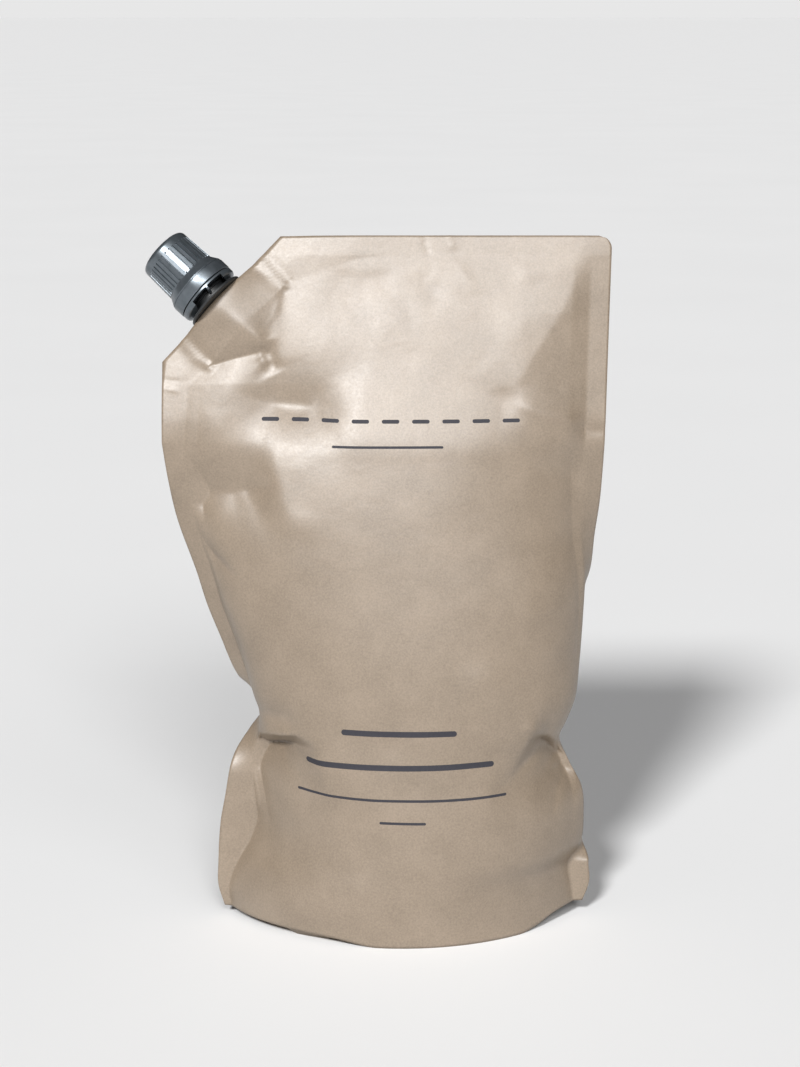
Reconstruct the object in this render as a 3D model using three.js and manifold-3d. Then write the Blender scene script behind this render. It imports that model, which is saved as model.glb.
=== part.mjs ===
// Stand-up refill pouch for liquid soap, with a screw-capped spout in its cut corner.
// Millimetres, +Z up. The origin is the middle of the flat patch that the pack stands on.
// -Y is the printed front. The spout points up and to the left, square to the cut corner.

import * as THREE from 'three';
import Module from 'manifold-3d';
import { mergeVertices } from 'three/addons/utils/BufferGeometryUtils.js';

const wasm = await Module();
wasm.setup();

// Running clearance between pieces that touch
const CLEARANCE = 0.3;

// Film and seals
const PACK_HEIGHT = 290;
const FILM_WIDTH = 184;
const SEAL_THICKNESS = 0.7;
const SIDE_SEAL = 8.4;
const TOP_SEAL = 8;
const TOP_CORNER_RADIUS = 5.5;
const LEFT_EDGE_X = -99.2;
const RIGHT_EDGE_X = LEFT_EDGE_X + FILM_WIDTH;

// Cut corner: a straight edge from the left side seal to the top seal
const CUT_FOOT_Z = 238.4;
const CUT_TOP_X = -51;
const WELD_DEPTH = 14.2;

// The empty upper part leans back above the filling, in degrees, and the spout's corner a little more
const LEAN = 14;
const LEAN_FROM_Z = 200;
const LEAN_BEND = 18;
const CORNER_LEAN = 4.5;
const CORNER_LEAN_DEPTH = 24;
const CORNER_LEAN_ROUNDING = 3;

// Doubled bottom fold: the thin skirt round the base and the fold's floor inside it
const SKIRT_HEIGHT = 4;
const SKIRT_THICKNESS = 0.7;
const PAD_HALF_LENGTH = 45;
const GUSSET_RISE = 18;

// Spout: weld boat, flange and neck. It sits a little below the middle of the cut edge.
const SPOUT_ALONG = -2.1;
const BOAT_HALF_LENGTH = 17;
const BOAT_HALF_THICKNESS = 6.2;
const BOAT_DEPTH = 12;
const BOAT_TOP = -0.4;
const STEM_WALL = 0.8;
const WELD_RIB = 0.35;
const WELD_RIBS = 3;
const FILM_OVER_BOAT = 0.8;
const WRAP_BEYOND_BOAT = 5;
const BOAT_BORE_RADIUS = 5.1;
const FLANGE_RADIUS = 13.5;
const FLANGE_THICKNESS = 1.2;
const NECK_RADIUS = 8.6;
const NECK_BORE_RADIUS = 6.5;
const BEAD_PROUD = 0.9;
const BEAD_HEIGHT = 1.4;
const MOUTH_CHAMFER = 0.5;

// Tamper ring
const RING_RADIUS = 13.6;
const RING_HEIGHT = 3.6;
const RING_FOOT_RADIUS = 11;
const RING_ABOVE_FLANGE = 1.1;
const RING_LIP = 1.2;
const WINDOW_WIDTH = 7.6;
const WINDOW_HEIGHT = 2.7;
const WINDOW_POST = 0.9;
const WINDOW_PAIR_TURN = 5;

// Cap
const CAP_HEIGHT = 25;
const CAP_TOP_RADIUS = 11.3;
const CAP_GRIP_RADIUS = 11.8;
const CAP_OVER_RING = 0.2;
const CAP_COLLAR_HEIGHT = 4.9;
const CAP_FLARE_HEIGHT = 3.6;
const CAP_TOP_ROUND = 2;
const CAP_TOP_BAND = 1.7;
const CAP_TOP_WALL = 1.6;
const GRIP_RIBS = 36;
const GROOVE_DEPTH = 0.4;
const GROOVE_SHARE = 0.24;

// Mesh fineness
const ROUND_STEPS = 48;
const PANEL_STEPS = 25;
const FIN_STEPS = 3;
const BOAT_STEPS = 8;
const ROW_HEIGHT = 7.2;
const FINE_ROW_HEIGHT = 3.7;

// Heights along the spout's axis, measured from the cut edge
const FLANGE_TOP = CLEARANCE + FLANGE_THICKNESS;
const RING_FOOT = FLANGE_TOP + RING_ABOVE_FLANGE;
const RING_TOP = RING_FOOT + RING_HEIGHT;
const CAP_FOOT = RING_TOP + CLEARANCE;
const CAP_TOP = CAP_FOOT + CAP_HEIGHT;
const MOUTH = CAP_TOP - CAP_TOP_WALL - CLEARANCE;
const BEAD_FOOT = RING_FOOT + RING_LIP + CLEARANCE;
const BEAD_RADIUS = NECK_RADIUS + BEAD_PROUD;
const CAP_BORE_RADIUS = NECK_RADIUS + CLEARANCE;
const CAP_COLLAR_RADIUS = RING_RADIUS + CAP_OVER_RING;

// Cut edge: its direction along the seam, and the way the spout points
const CUT_TOP_Z = PACK_HEIGHT;
const cutAlong = new THREE.Vector2(CUT_TOP_X - LEFT_EDGE_X, CUT_TOP_Z - CUT_FOOT_Z).normalize();
const spoutPlace = new THREE.Vector2((CUT_TOP_X + LEFT_EDGE_X) / 2, (CUT_TOP_Z + CUT_FOOT_Z) / 2)
  .addScaledVector(cutAlong, SPOUT_ALONG);
const SPOUT_TILT = Math.atan2(cutAlong.y, cutAlong.x);

// Smooth curve through a few [height, value] points
function through(points) {
  return (at) => {
    const last = points.length - 1;
    if (at <= points[0][0]) return points[0][1];
    if (at >= points[last][0]) return points[last][1];
    let i = 0;
    while (at > points[i + 1][0]) i += 1;
    const span = points[i + 1][0] - points[i][0];
    const slope = (k) => {
      const a = points[Math.max(k - 1, 0)];
      const b = points[Math.min(k + 1, last)];
      return (b[1] - a[1]) / (b[0] - a[0]);
    };
    const t = (at - points[i][0]) / span;
    const rise = points[i + 1][1] - points[i][1];
    const bend = t * (1 - t) * ((slope(i) * span - rise) * (1 - t) - (slope(i + 1) * span - rise) * t);
    return points[i][1] + rise * t + bend;
  };
}

// Straight lines through a few [height, value] points
function straightThrough(points) {
  return (at) => {
    let i = 0;
    while (i < points.length - 2 && at > points[i + 1][0]) i += 1;
    const t = THREE.MathUtils.clamp((at - points[i][0]) / (points[i + 1][0] - points[i][0]), 0, 1);
    return THREE.MathUtils.lerp(points[i][1], points[i + 1][1], t);
  };
}

// Filled shape by height: how far each side seam's inner edge lies inside the film's flat edge, how wide
// the flat seam or ear outside it is, and how far that seam is turned to the back, in degrees
const SEAM_FLAT_Z = 205;
const leftInset = through([
  [0, 25.2], [11, 24.2], [24, 28.2], [33, 33.2], [43, 36.6], [52, 35.9], [66, 34.9], [80, 37.4],
  [90, 38.2], [97, 36.2], [120, 29.2], [136, 23.6], [150, 19.8], [172, 13.2], [190, 10.2],
  [SEAM_FLAT_Z, SIDE_SEAL],
]);
const leftEar = through([
  [0, 3], [11, 4.6], [24, 8.4], [33, 13], [43, 15.4], [52, 13], [66, 9.5], [80, SIDE_SEAL],
]);
const leftTurn = through([
  [52, 0], [66, 5], [80, 60], [90, 100], [97, 85], [104, 50], [120, 36], [150, 30], [172, 22],
  [190, 10], [SEAM_FLAT_Z, 0],
]);
const rightInset = through([
  [0, 12.8], [11, 13.8], [24, 14.8], [33, 9.8], [45, 8.8], [57, 9.8], [68, 15.3], [79, 19.6],
  [86, 17.3], [97, 13.3], [110, 11.8], [134, 10.5], [150, 10.2], [165, 11.8], [182, 11.8],
  [SEAM_FLAT_Z, 11.2], [250, 9.8], [PACK_HEIGHT, SIDE_SEAL],
]);
const rightEar = through([[0, 4], [11, 7.8], [24, SIDE_SEAL], [33, 5], [45, SIDE_SEAL]]);
const rightTurn = through([
  [24, 0], [33, 80], [45, 100], [134, 100], [150, 70], [165, 45], [182, 20], [SEAM_FLAT_Z, 0],
]);
const seamY = through([[0, 0], [40, 1], [90, 3], [134, 2], [SEAM_FLAT_Z, 0]]);

// How far each panel stands out from the seams, and how far round its section sweeps, in degrees
const panelDepth = through([
  [0, 37], [20, 38.5], [45, 38.5], [70, 37.5], [84, 36.5], [97, 35.6], [110, 34], [120, 32.4],
  [134, 29.6], [150, 26], [165, 22], [182, 16.8], [200, 11.4], [216, 7.4], [235, 5], [256, 3.4],
  [272, 2], [PACK_HEIGHT - TOP_SEAL, 0],
]);
const panelSweep = through([
  [0, 52], [30, 62], [60, 78], [84, 92], [97, 92], [110, 88], [134, 84], [150, 76], [172, 62],
  [200, 45], [PACK_HEIGHT, 32],
]);

// Base corners stand a little off the floor
const cornerLift = through([
  [-79, 4.4], [-67, 3.2], [-48, 3.2], [-30, 2.6], [-12, 0], [0, 0], [48, 0], [56, 2.2], [64, 5.2],
  [79, 6.6],
]);
const LIFT_FADES_AT = 26;

// The cut corner: the edge itself, and the inner line of the weld zone below it
const cutX = (z) => LEFT_EDGE_X + (z - CUT_FOOT_Z) * cutAlong.x / cutAlong.y;
const weldReach = WELD_DEPTH / cutAlong.y;
const WELD_FOOT_Z = CUT_FOOT_Z - 9.4;
const WELD_HEAD_Z = PACK_HEIGHT - 21;
const weldRoot = straightThrough([
  [WELD_FOOT_Z, LEFT_EDGE_X + SIDE_SEAL],
  [CUT_FOOT_Z - 1, LEFT_EDGE_X + weldReach - 1.6],
  [WELD_HEAD_Z, cutX(WELD_HEAD_Z) + weldReach],
  [PACK_HEIGHT - TOP_SEAL, CUT_TOP_X + 16.5],
]);

// Folds of the filled film. Each runs through front-view points [x, z], sinks by its depth and fades over
// its reach to the left and to the right of that direction. A power of 1 is a crease, of 2 a soft hollow.
// The ends fade in and out over the shares given.
const FRONT_FOLDS = [
  { name: 'left waist pocket', line: [[-69, 72], [-58, 76], [-46, 81], [-36, 83]],
    depth: 13, left: 6, right: 15, power: 1, ends: [0, 0.55] },
  { name: 'crest over the left pocket', line: [[-66, 80], [-57, 86], [-46, 87.5], [-38, 85]],
    depth: -3, left: 4, right: 4, power: 1, ends: [0.1, 0.5] },
  { name: 'right waist pocket', line: [[50, 85], [57, 82], [63, 73], [72, 67]],
    depth: 8, left: 5, right: 12, power: 1, ends: [0.35, 0] },
  { name: 'crest over the right pocket', line: [[46, 89], [52, 91], [61, 81], [70, 77]],
    depth: -2.3, left: 4, right: 4, power: 1, ends: [0.3, 0.2] },
  { name: 'dent below the pinch', line: [[-56, 234], [-40, 228], [-16, 221]],
    depth: 3.2, left: 9, right: 8, power: 2, ends: [0.1, 0.5] },
  { name: 'left shoulder hollow', line: [[-88, 205], [-70, 196], [-45, 189]],
    depth: 6, left: 5, right: 16, power: 2, ends: [0.05, 0.55] },
  { name: 'left hip dent', line: [[-78, 140], [-72, 118], [-65, 99]],
    depth: 3.2, left: 4, right: 7, power: 2, ends: [0.3, 0.3] },
  { name: 'right shoulder ridge', line: [[73, 281], [54, 252], [36, 222]],
    depth: -2.6, left: 13, right: 13, power: 2, ends: [0.2, 0.3] },
  { name: 'ridge under the right facet', line: [[36, 222], [54, 217], [79, 211]],
    depth: -1.6, left: 5, right: 9, power: 2, ends: [0.3, 0.3] },
  { name: 'right side hollow', line: [[66, 208], [74, 160]],
    depth: 3.2, left: 12, right: 12, power: 2, ends: [0.2, 0.2] },
];
const BACK_FOLDS = [
  { name: 'left waist fold', line: [[-68, 84], [-56, 88], [-34, 82]],
    depth: 5, left: 1.5, right: 13, power: 1, ends: [0, 0.5] },
  { name: 'right waist fold', line: [[38, 86], [56, 85], [72, 78]],
    depth: 4.5, left: 1.5, right: 11, power: 1, ends: [0.5, 0] },
  { name: 'spout dent', line: [[-62, 244], [-46, 232], [-28, 214]],
    depth: 3, left: 10, right: 8, power: 2, ends: [0.1, 0.5] },
  { name: 'right shoulder dent', line: [[78, 190], [60, 196], [38, 200]],
    depth: 4, left: 10, right: 14, power: 2, ends: [0.1, 0.5] },
  { name: 'left shoulder dent', line: [[-86, 176], [-70, 166], [-52, 162]],
    depth: 2.6, left: 6, right: 9, power: 2, ends: [0.1, 0.5] },
  { name: 'right shoulder ridge', line: [[74, 262], [50, 240], [34, 216]],
    depth: -2, left: 12, right: 12, power: 2, ends: [0.2, 0.4] },
];

// How far a front-view point is from a line, on which side (-1 to 1), and at which share of it. The nearer
// of its segments count most, so that nothing jumps inside a bend or round an end.
function nearLine(line, x, z) {
  const lengths = line.slice(1).map(([x1, z1], i) => Math.hypot(x1 - line[i][0], z1 - line[i][1]));
  const total = lengths.reduce((sum, length) => sum + length, 0);
  let weights = 0;
  let side = 0;
  let share = 0;
  let run = 0;
  lengths.forEach((length, i) => {
    const [x0, z0] = line[i];
    const dx = (line[i + 1][0] - x0) / length;
    const dz = (line[i + 1][1] - z0) / length;
    const t = THREE.MathUtils.clamp((x - x0) * dx + (z - z0) * dz, 0, length);
    const away = Math.hypot(x - x0 - t * dx, z - z0 - t * dz) + 1e-3;
    const weight = away ** -4;
    weights += weight;
    side += weight * ((x - x0) * dz - (z - z0) * dx) / away;
    share += weight * (run + t) / total;
    run += length;
  });
  return { away: weights ** -0.25, side: side / weights, share: share / weights };
}

function foldDepth(folds, x, z) {
  const fade = (share, over) => (over ? THREE.MathUtils.smoothstep(share, -0.02, over) : 1);
  return folds.reduce((sunk, fold) => {
    const { away, side, share } = nearLine(fold.line, x, z);
    const reach = THREE.MathUtils.lerp(fold.left, fold.right, THREE.MathUtils.smoothstep(side, -1, 1));
    const profile = Math.exp(-((away / reach) ** fold.power));
    return sunk + fold.depth * profile * fade(share, fold.ends[0]) * fade(1 - share, fold.ends[1]);
  }, 0);
}

// 0 on one side and growing evenly on the other, with a rounded start
const ramp = (value, rounding) => rounding * Math.log1p(Math.exp(value / rounding));

// The upper right corner turns back behind a slanting ridge, and eases out below it
const RIDGE_TOP = new THREE.Vector2(73, 284);
const RIDGE_FOOT = new THREE.Vector2(36, 222);
const RIDGE_SLOPE = 0.19;
const RIDGE_ROUNDING = 3;
const RIDGE_FADES_FROM_Z = 140;
const RIDGE_FULL_FROM_Z = 212;

function rightFacet(x, z) {
  const along = RIDGE_FOOT.clone().sub(RIDGE_TOP).normalize();
  const beyond = along.y * (RIDGE_TOP.x - x) - along.x * (RIDGE_TOP.y - z);
  const fade = THREE.MathUtils.smoothstep(z, RIDGE_FADES_FROM_Z, RIDGE_FULL_FROM_Z);
  return RIDGE_SLOPE * ramp(beyond, RIDGE_ROUNDING) * fade;
}

// Distance along the cut from the spout's axis, and inwards from it
function cutFrame(x, z) {
  const dx = x - spoutPlace.x;
  const dz = z - spoutPlace.y;
  return { along: dx * cutAlong.x + dz * cutAlong.y, inwards: dx * cutAlong.y - dz * cutAlong.x };
}

// Half thickness of a lens: the weld boat's own outline, or the film that wraps it
function lensHalf(along, halfLength, halfThickness) {
  const share = Math.min(Math.abs(along) / halfLength, 1);
  return halfThickness * Math.cos(share * Math.PI / 2) ** 1.3;
}

// Film over the boat, by distance in from the cut edge. It changes from a lens to a tent whose ridge runs
// down to a pinch: the left flank ends in a sharp corner there, and the right one eases out.
const WRAP_HEIGHT = BOAT_HALF_THICKNESS + CLEARANCE + FILM_OVER_BOAT;
const WRAP_HALF_WIDTH = BOAT_HALF_LENGTH + WRAP_BEYOND_BOAT;
const leftWrap = through([
  [0, WRAP_HEIGHT], [13, WRAP_HEIGHT], [18, 6.6], [23, 5.4], [27, 3.2], [30, 0.8], [34, 0],
]);
const rightWrap = through([
  [0, WRAP_HEIGHT], [13, WRAP_HEIGHT], [18, 6.2], [23, 4.4], [30, 2], [38, 0.3], [44, 0],
]);
const leftHalfWidth = straightThrough([[0, WRAP_HALF_WIDTH], [15.4, WRAP_HALF_WIDTH], [27, 3.5], [34, 3]]);
const rightHalfWidth = straightThrough([
  [0, WRAP_HALF_WIDTH], [15.4, WRAP_HALF_WIDTH + 1], [23, 17], [44, 14],
]);
const TENT_FROM = 1;
const TENT_TO = 11;
const TENT_ROUNDING = 0.07;
const FLANK_BLEND = 7;

// How much the film stands out over the boat at a front-view point
function boatBulge(x, z) {
  const { along, inwards } = cutFrame(x, z);
  const halfWidth = along < 0 ? leftHalfWidth(inwards) : rightHalfWidth(inwards);
  const share = Math.min(Math.abs(along) / halfWidth, 1);
  const lens = lensHalf(share, 1, 1);
  const tent = 1 - Math.hypot(share, TENT_ROUNDING) * (1 - TENT_ROUNDING);
  const change = THREE.MathUtils.smoothstep(inwards, TENT_FROM, TENT_TO);
  const right = THREE.MathUtils.smoothstep(along, 0, FLANK_BLEND);
  const height = THREE.MathUtils.lerp(leftWrap(inwards), rightWrap(inwards), right);
  return height * Math.max(THREE.MathUtils.lerp(lens, tent, change), 0);
}

// Where the leaning upper part's middle plane starts once the bend is past
const leanAngle = THREE.MathUtils.degToRad(LEAN);
const cornerAngle = THREE.MathUtils.degToRad(CORNER_LEAN);
const leanRadius = LEAN_BEND / leanAngle;
const pastBend = new THREE.Vector2(
  leanRadius * (1 - Math.cos(leanAngle)), LEAN_FROM_Z + leanRadius * Math.sin(leanAngle));

// Leans the spout's corner back about a line across the corner, with a rounded start
function leanCorner(x, y, z) {
  const short = CORNER_LEAN_DEPTH - cutFrame(x, z).inwards;
  const beyond = ramp(short, CORNER_LEAN_ROUNDING);
  const angle = cornerAngle / (1 + Math.exp(-short / CORNER_LEAN_ROUNDING));
  const outwards = -y * Math.sin(angle) - beyond * (1 - Math.cos(cornerAngle));
  return new THREE.Vector3(
    x - cutAlong.y * outwards,
    y * Math.cos(angle) + beyond * Math.sin(cornerAngle),
    z + cutAlong.x * outwards);
}

// Leans everything above the filling back, round a bend of even curvature
function leanBack({ x, y, z }) {
  const angle = leanAngle * THREE.MathUtils.clamp((z - LEAN_FROM_Z) / LEAN_BEND, 0, 1);
  const beyond = Math.max(z - LEAN_FROM_Z - LEAN_BEND, 0);
  return new THREE.Vector3(
    x,
    leanRadius * (1 - Math.cos(angle)) + beyond * Math.sin(leanAngle) + y * Math.cos(angle),
    Math.min(z, LEAN_FROM_Z) + leanRadius * Math.sin(angle) + beyond * Math.cos(leanAngle)
      - y * Math.sin(angle));
}

// One side of the pack at a row: points from the left tip to the right tip.
// side is -1 for the front and +1 for the back.
function sidePoints(level, side) {
  const depth = panelDepth(level);
  const sweep = THREE.MathUtils.degToRad(panelSweep(level));
  const inWeld = level > WELD_FOOT_Z;
  const y0 = seamY(level);
  const left = inWeld ? weldRoot(level) : LEFT_EDGE_X + leftInset(level);
  const right = RIGHT_EDGE_X - rightInset(level);
  const centre = (left + right) / 2;
  const half = (right - left) / 2;
  const folds = side < 0 ? FRONT_FOLDS : BACK_FOLDS;
  const points = [];
  const push = (x, y, fromSeam) => {
    const sunk = foldDepth(folds, x, level) * fromSeam;
    const bulge = Math.max(boatBulge(x, level) - Math.abs(y - y0) + sunk, 0);
    const lift = Math.max(cornerLift(x), 0) * Math.max(1 - level / LIFT_FADES_AT, 0);
    const out = y + side * (SEAL_THICKNESS / 2 + bulge - sunk) + rightFacet(x, level);
    points.push(leanBack(leanCorner(x, out, level + lift)));
  };
  const leftWidth = inWeld ? left - Math.max(cutX(level), LEFT_EDGE_X) : leftEar(level);
  const leftAngle = THREE.MathUtils.degToRad(inWeld ? 0 : leftTurn(level));
  for (let i = FIN_STEPS; i > 0; i -= 1) {
    const reach = leftWidth * i / FIN_STEPS;
    push(left - reach * Math.cos(leftAngle), y0 + reach * Math.sin(leftAngle), 0);
  }
  for (let i = 0; i <= PANEL_STEPS; i += 1) {
    const w = 2 * i / PANEL_STEPS - 1;
    const turn = w * sweep;
    const out = (Math.cos(turn) - Math.cos(sweep)) / (1 - Math.cos(sweep));
    const fromSeam = Math.min((1 - Math.abs(w)) * 5, 1) * Math.min(depth / 4, 1);
    push(centre + half * Math.sin(turn) / Math.sin(sweep), y0 + side * depth * out, fromSeam);
  }
  const rightAngle = THREE.MathUtils.degToRad(rightTurn(level));
  const drop = Math.max(level - (PACK_HEIGHT - TOP_CORNER_RADIUS), 0);
  const rounding = TOP_CORNER_RADIUS - Math.sqrt(TOP_CORNER_RADIUS ** 2 - drop ** 2);
  const rightWidth = rightEar(level) - rounding;
  for (let i = 1; i <= FIN_STEPS; i += 1) {
    const reach = rightWidth * i / FIN_STEPS;
    push(right + reach * Math.cos(rightAngle), y0 + reach * Math.sin(rightAngle), 0);
  }
  return points;
}

// Row heights: finer at the base, the waist and the cut corner
function rowLevels() {
  const fine = (z) => (z > 66 && z < 106) || z > CUT_FOOT_Z - 12 || z < 8;
  const levels = [0];
  while (levels.at(-1) < PACK_HEIGHT) {
    const z = levels.at(-1);
    levels.push(Math.min(z + (fine(z) ? FINE_ROW_HEIGHT : ROW_HEIGHT), PACK_HEIGHT));
  }
  return levels;
}

// Points under one column pair, from the front rim through the bottom fold to the back rim
function gussetColumn(front, back) {
  const open = back.y - front.y;
  const wall = Math.min(SKIRT_THICKNESS, open * 0.2);
  const inner = wall + Math.min(0.4, open * 0.06);
  const openness = THREE.MathUtils.clamp((open - 2) / 12, 0, 1);
  const beyondPad = THREE.MathUtils.clamp((Math.abs(front.x) - PAD_HALF_LENGTH) / 22, 0, 1);
  const end = beyondPad * openness;
  const rim = (front.z + back.z) / 2;
  const at = (share, z) => new THREE.Vector3(
    THREE.MathUtils.lerp(front.x, back.x, share / open), front.y + share, z);
  const shares = [0.1, 0.26, 0.5, 0.74, 0.9];
  const floor = shares.map((share) => {
    const arch = Math.sin(share * Math.PI);
    const clear = inner + share * (open - 2 * inner);
    const raised = rim * (1 - openness) + GUSSET_RISE * end * arch + SKIRT_HEIGHT * end;
    return at(clear, raised);
  });
  const top = rim + SKIRT_HEIGHT * openness;
  return [
    front, at(wall, front.z), at(inner, top), ...floor,
    at(open - inner, top), at(open - wall, back.z), back,
  ];
}

function pouchShell() {
  const levels = rowLevels();
  const positions = [];
  const index = [];
  const add = (p) => positions.push(p.x, p.y, p.z) / 3 - 1;
  const quad = (a, b, c, d) => index.push(a, b, c, a, c, d);
  const rows = levels.map((level) => ({
    front: sidePoints(level, -1).map(add),
    back: sidePoints(level, 1).map(add),
  }));
  const columns = rows[0].front.length;
  const pointAt = (i) => new THREE.Vector3().fromArray(positions, i * 3);
  for (let r = 0; r + 1 < rows.length; r += 1) {
    const { front, back } = rows[r];
    const above = rows[r + 1];
    for (let c = 0; c + 1 < columns; c += 1) {
      quad(front[c], front[c + 1], above.front[c + 1], above.front[c]);
      quad(back[c + 1], back[c], above.back[c], above.back[c + 1]);
    }
    quad(back[0], front[0], above.front[0], above.back[0]);
    quad(front[columns - 1], back[columns - 1], above.back[columns - 1], above.front[columns - 1]);
  }
  const top = rows.at(-1);
  const foot = rows[0];
  const gusset = foot.front.map((front, c) => {
    const [, ...rest] = gussetColumn(pointAt(front), pointAt(foot.back[c]));
    rest.pop();
    return [front, ...rest.map(add), foot.back[c]];
  });
  for (let c = 0; c + 1 < columns; c += 1) {
    quad(top.front[c], top.front[c + 1], top.back[c + 1], top.back[c]);
    for (let k = 0; k + 1 < gusset[c].length; k += 1) {
      quad(gusset[c][k], gusset[c][k + 1], gusset[c + 1][k + 1], gusset[c + 1][k]);
    }
  }
  for (const c of [0, columns - 1]) {
    const rim = gusset[c];
    for (let k = 1; k + 1 < rim.length; k += 1) {
      if (c === 0) index.push(rim[0], rim[k + 1], rim[k]);
      else index.push(rim[0], rim[k], rim[k + 1]);
    }
  }
  const shell = new THREE.BufferGeometry();
  shell.setAttribute('position', new THREE.Float32BufferAttribute(positions, 3));
  shell.setIndex(index);
  return shell;
}

// Joining and cutting
function toSolid(geometry) {
  const bare = geometry.clone();
  bare.deleteAttribute('normal');
  bare.deleteAttribute('uv');
  const merged = mergeVertices(bare, 1e-4);
  return new wasm.Manifold(new wasm.Mesh({
    numProp: 3,
    vertProperties: Float32Array.from(merged.getAttribute('position').array),
    triVerts: Uint32Array.from(merged.getIndex().array),
  }));
}

function toGeometry(solid) {
  const mesh = solid.getMesh();
  const geometry = new THREE.BufferGeometry();
  geometry.setAttribute('position', new THREE.BufferAttribute(Float32Array.from(mesh.vertProperties), 3));
  geometry.setIndex(new THREE.BufferAttribute(Uint32Array.from(mesh.triVerts), 1));
  geometry.computeVertexNormals();
  return geometry;
}

// A turned form about +Z from [radius, height] points that start and end on the axis or close on themselves
function turned(profile, steps = ROUND_STEPS) {
  const points = profile.map(([radius, height]) => new THREE.Vector2(radius, height));
  return new THREE.LatheGeometry(points, steps).rotateX(Math.PI / 2);
}

// The weld boat's lens outline, extruded along the spout's axis
function boatSlab(grow, from, to) {
  const halfLength = BOAT_HALF_LENGTH + grow;
  const outline = [];
  for (const side of [-1, 1]) {
    for (let i = -BOAT_STEPS; i < BOAT_STEPS; i += 1) {
      const along = -side * halfLength * i / BOAT_STEPS;
      const half = lensHalf(along, halfLength, BOAT_HALF_THICKNESS + grow);
      outline.push(new THREE.Vector2(along, side * half));
    }
  }
  const shape = new THREE.Shape(outline);
  return new THREE.ExtrudeGeometry(shape, { depth: to - from, bevelEnabled: false }).translate(0, 0, from);
}

// Moves a form from the spout's own axes to its place on the leaning cut edge
function onSpout(geometry) {
  return geometry
    .translate(0, 0, CORNER_LEAN_DEPTH)
    .rotateX(-cornerAngle)
    .translate(0, 0, -CORNER_LEAN_DEPTH)
    .rotateY(-SPOUT_TILT)
    .translate(spoutPlace.x, 0, spoutPlace.y - LEAN_FROM_Z - LEAN_BEND)
    .rotateX(-leanAngle)
    .translate(0, pastBend.x, pastBend.y);
}

function pouch() {
  const recess = onSpout(boatSlab(CLEARANCE, -BOAT_DEPTH - CLEARANCE, CLEARANCE + 1));
  return toGeometry(toSolid(pouchShell()).subtract(toSolid(recess)));
}

function spout() {
  let solid = toSolid(boatSlab(-WELD_RIB, -BOAT_DEPTH, BOAT_TOP));
  for (let i = 0; i < WELD_RIBS; i += 1) {
    const foot = -BOAT_DEPTH * (i + 0.7) / WELD_RIBS;
    solid = solid.add(toSolid(boatSlab(0, foot - WELD_RIB, foot + WELD_RIB)));
  }
  const beadTop = BEAD_FOOT + BEAD_HEIGHT;
  solid = solid.add(toSolid(turned([
    [0, BOAT_TOP - 1], [BOAT_BORE_RADIUS + STEM_WALL, BOAT_TOP - 1],
    [BOAT_BORE_RADIUS + STEM_WALL, CLEARANCE], [FLANGE_RADIUS - 0.4, CLEARANCE],
    [FLANGE_RADIUS, CLEARANCE + 0.4],
    [FLANGE_RADIUS, FLANGE_TOP], [NECK_RADIUS, FLANGE_TOP], [NECK_RADIUS, BEAD_FOOT],
    [BEAD_RADIUS, BEAD_FOOT], [NECK_RADIUS, beadTop], [NECK_RADIUS, MOUTH - MOUTH_CHAMFER],
    [NECK_RADIUS - MOUTH_CHAMFER, MOUTH], [0, MOUTH],
  ])));
  const bore = turned([
    [0, -BOAT_DEPTH - 1], [BOAT_BORE_RADIUS, -BOAT_DEPTH - 1], [BOAT_BORE_RADIUS, 0],
    [NECK_BORE_RADIUS, FLANGE_TOP], [NECK_BORE_RADIUS, MOUTH + 1], [0, MOUTH + 1],
  ]);
  return toGeometry(solid.subtract(toSolid(bore)));
}

// The ring has a lip under the neck's bead, and two opposite pairs of windows with a post between
function tamperRing() {
  const bodyBore = BEAD_RADIUS + CLEARANCE;
  const lipBore = NECK_RADIUS + CLEARANCE;
  let solid = toSolid(turned([
    [lipBore, RING_FOOT], [RING_FOOT_RADIUS, RING_FOOT], [RING_RADIUS - 0.5, RING_FOOT + 1],
    [RING_RADIUS, RING_FOOT + 2], [RING_RADIUS, RING_TOP], [bodyBore, RING_TOP],
    [bodyBore, RING_FOOT + RING_LIP], [lipBore, RING_FOOT + RING_LIP], [lipBore, RING_FOOT],
  ]));
  const offset = (WINDOW_WIDTH + WINDOW_POST) / 2;
  const reachIn = Math.sqrt(lipBore ** 2 - (WINDOW_WIDTH + WINDOW_POST / 2) ** 2) - CLEARANCE;
  for (const faces of [0, 180]) {
    for (const sideways of [-offset, offset]) {
      const window = new THREE.BoxGeometry(WINDOW_WIDTH, RING_RADIUS, WINDOW_HEIGHT + 1)
        .translate(sideways, -RING_RADIUS / 2 - reachIn, RING_FOOT + WINDOW_HEIGHT / 2 - 0.5)
        .rotateZ(THREE.MathUtils.degToRad(WINDOW_PAIR_TURN + faces));
      solid = solid.subtract(toSolid(window));
    }
  }
  return toGeometry(solid);
}

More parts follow.
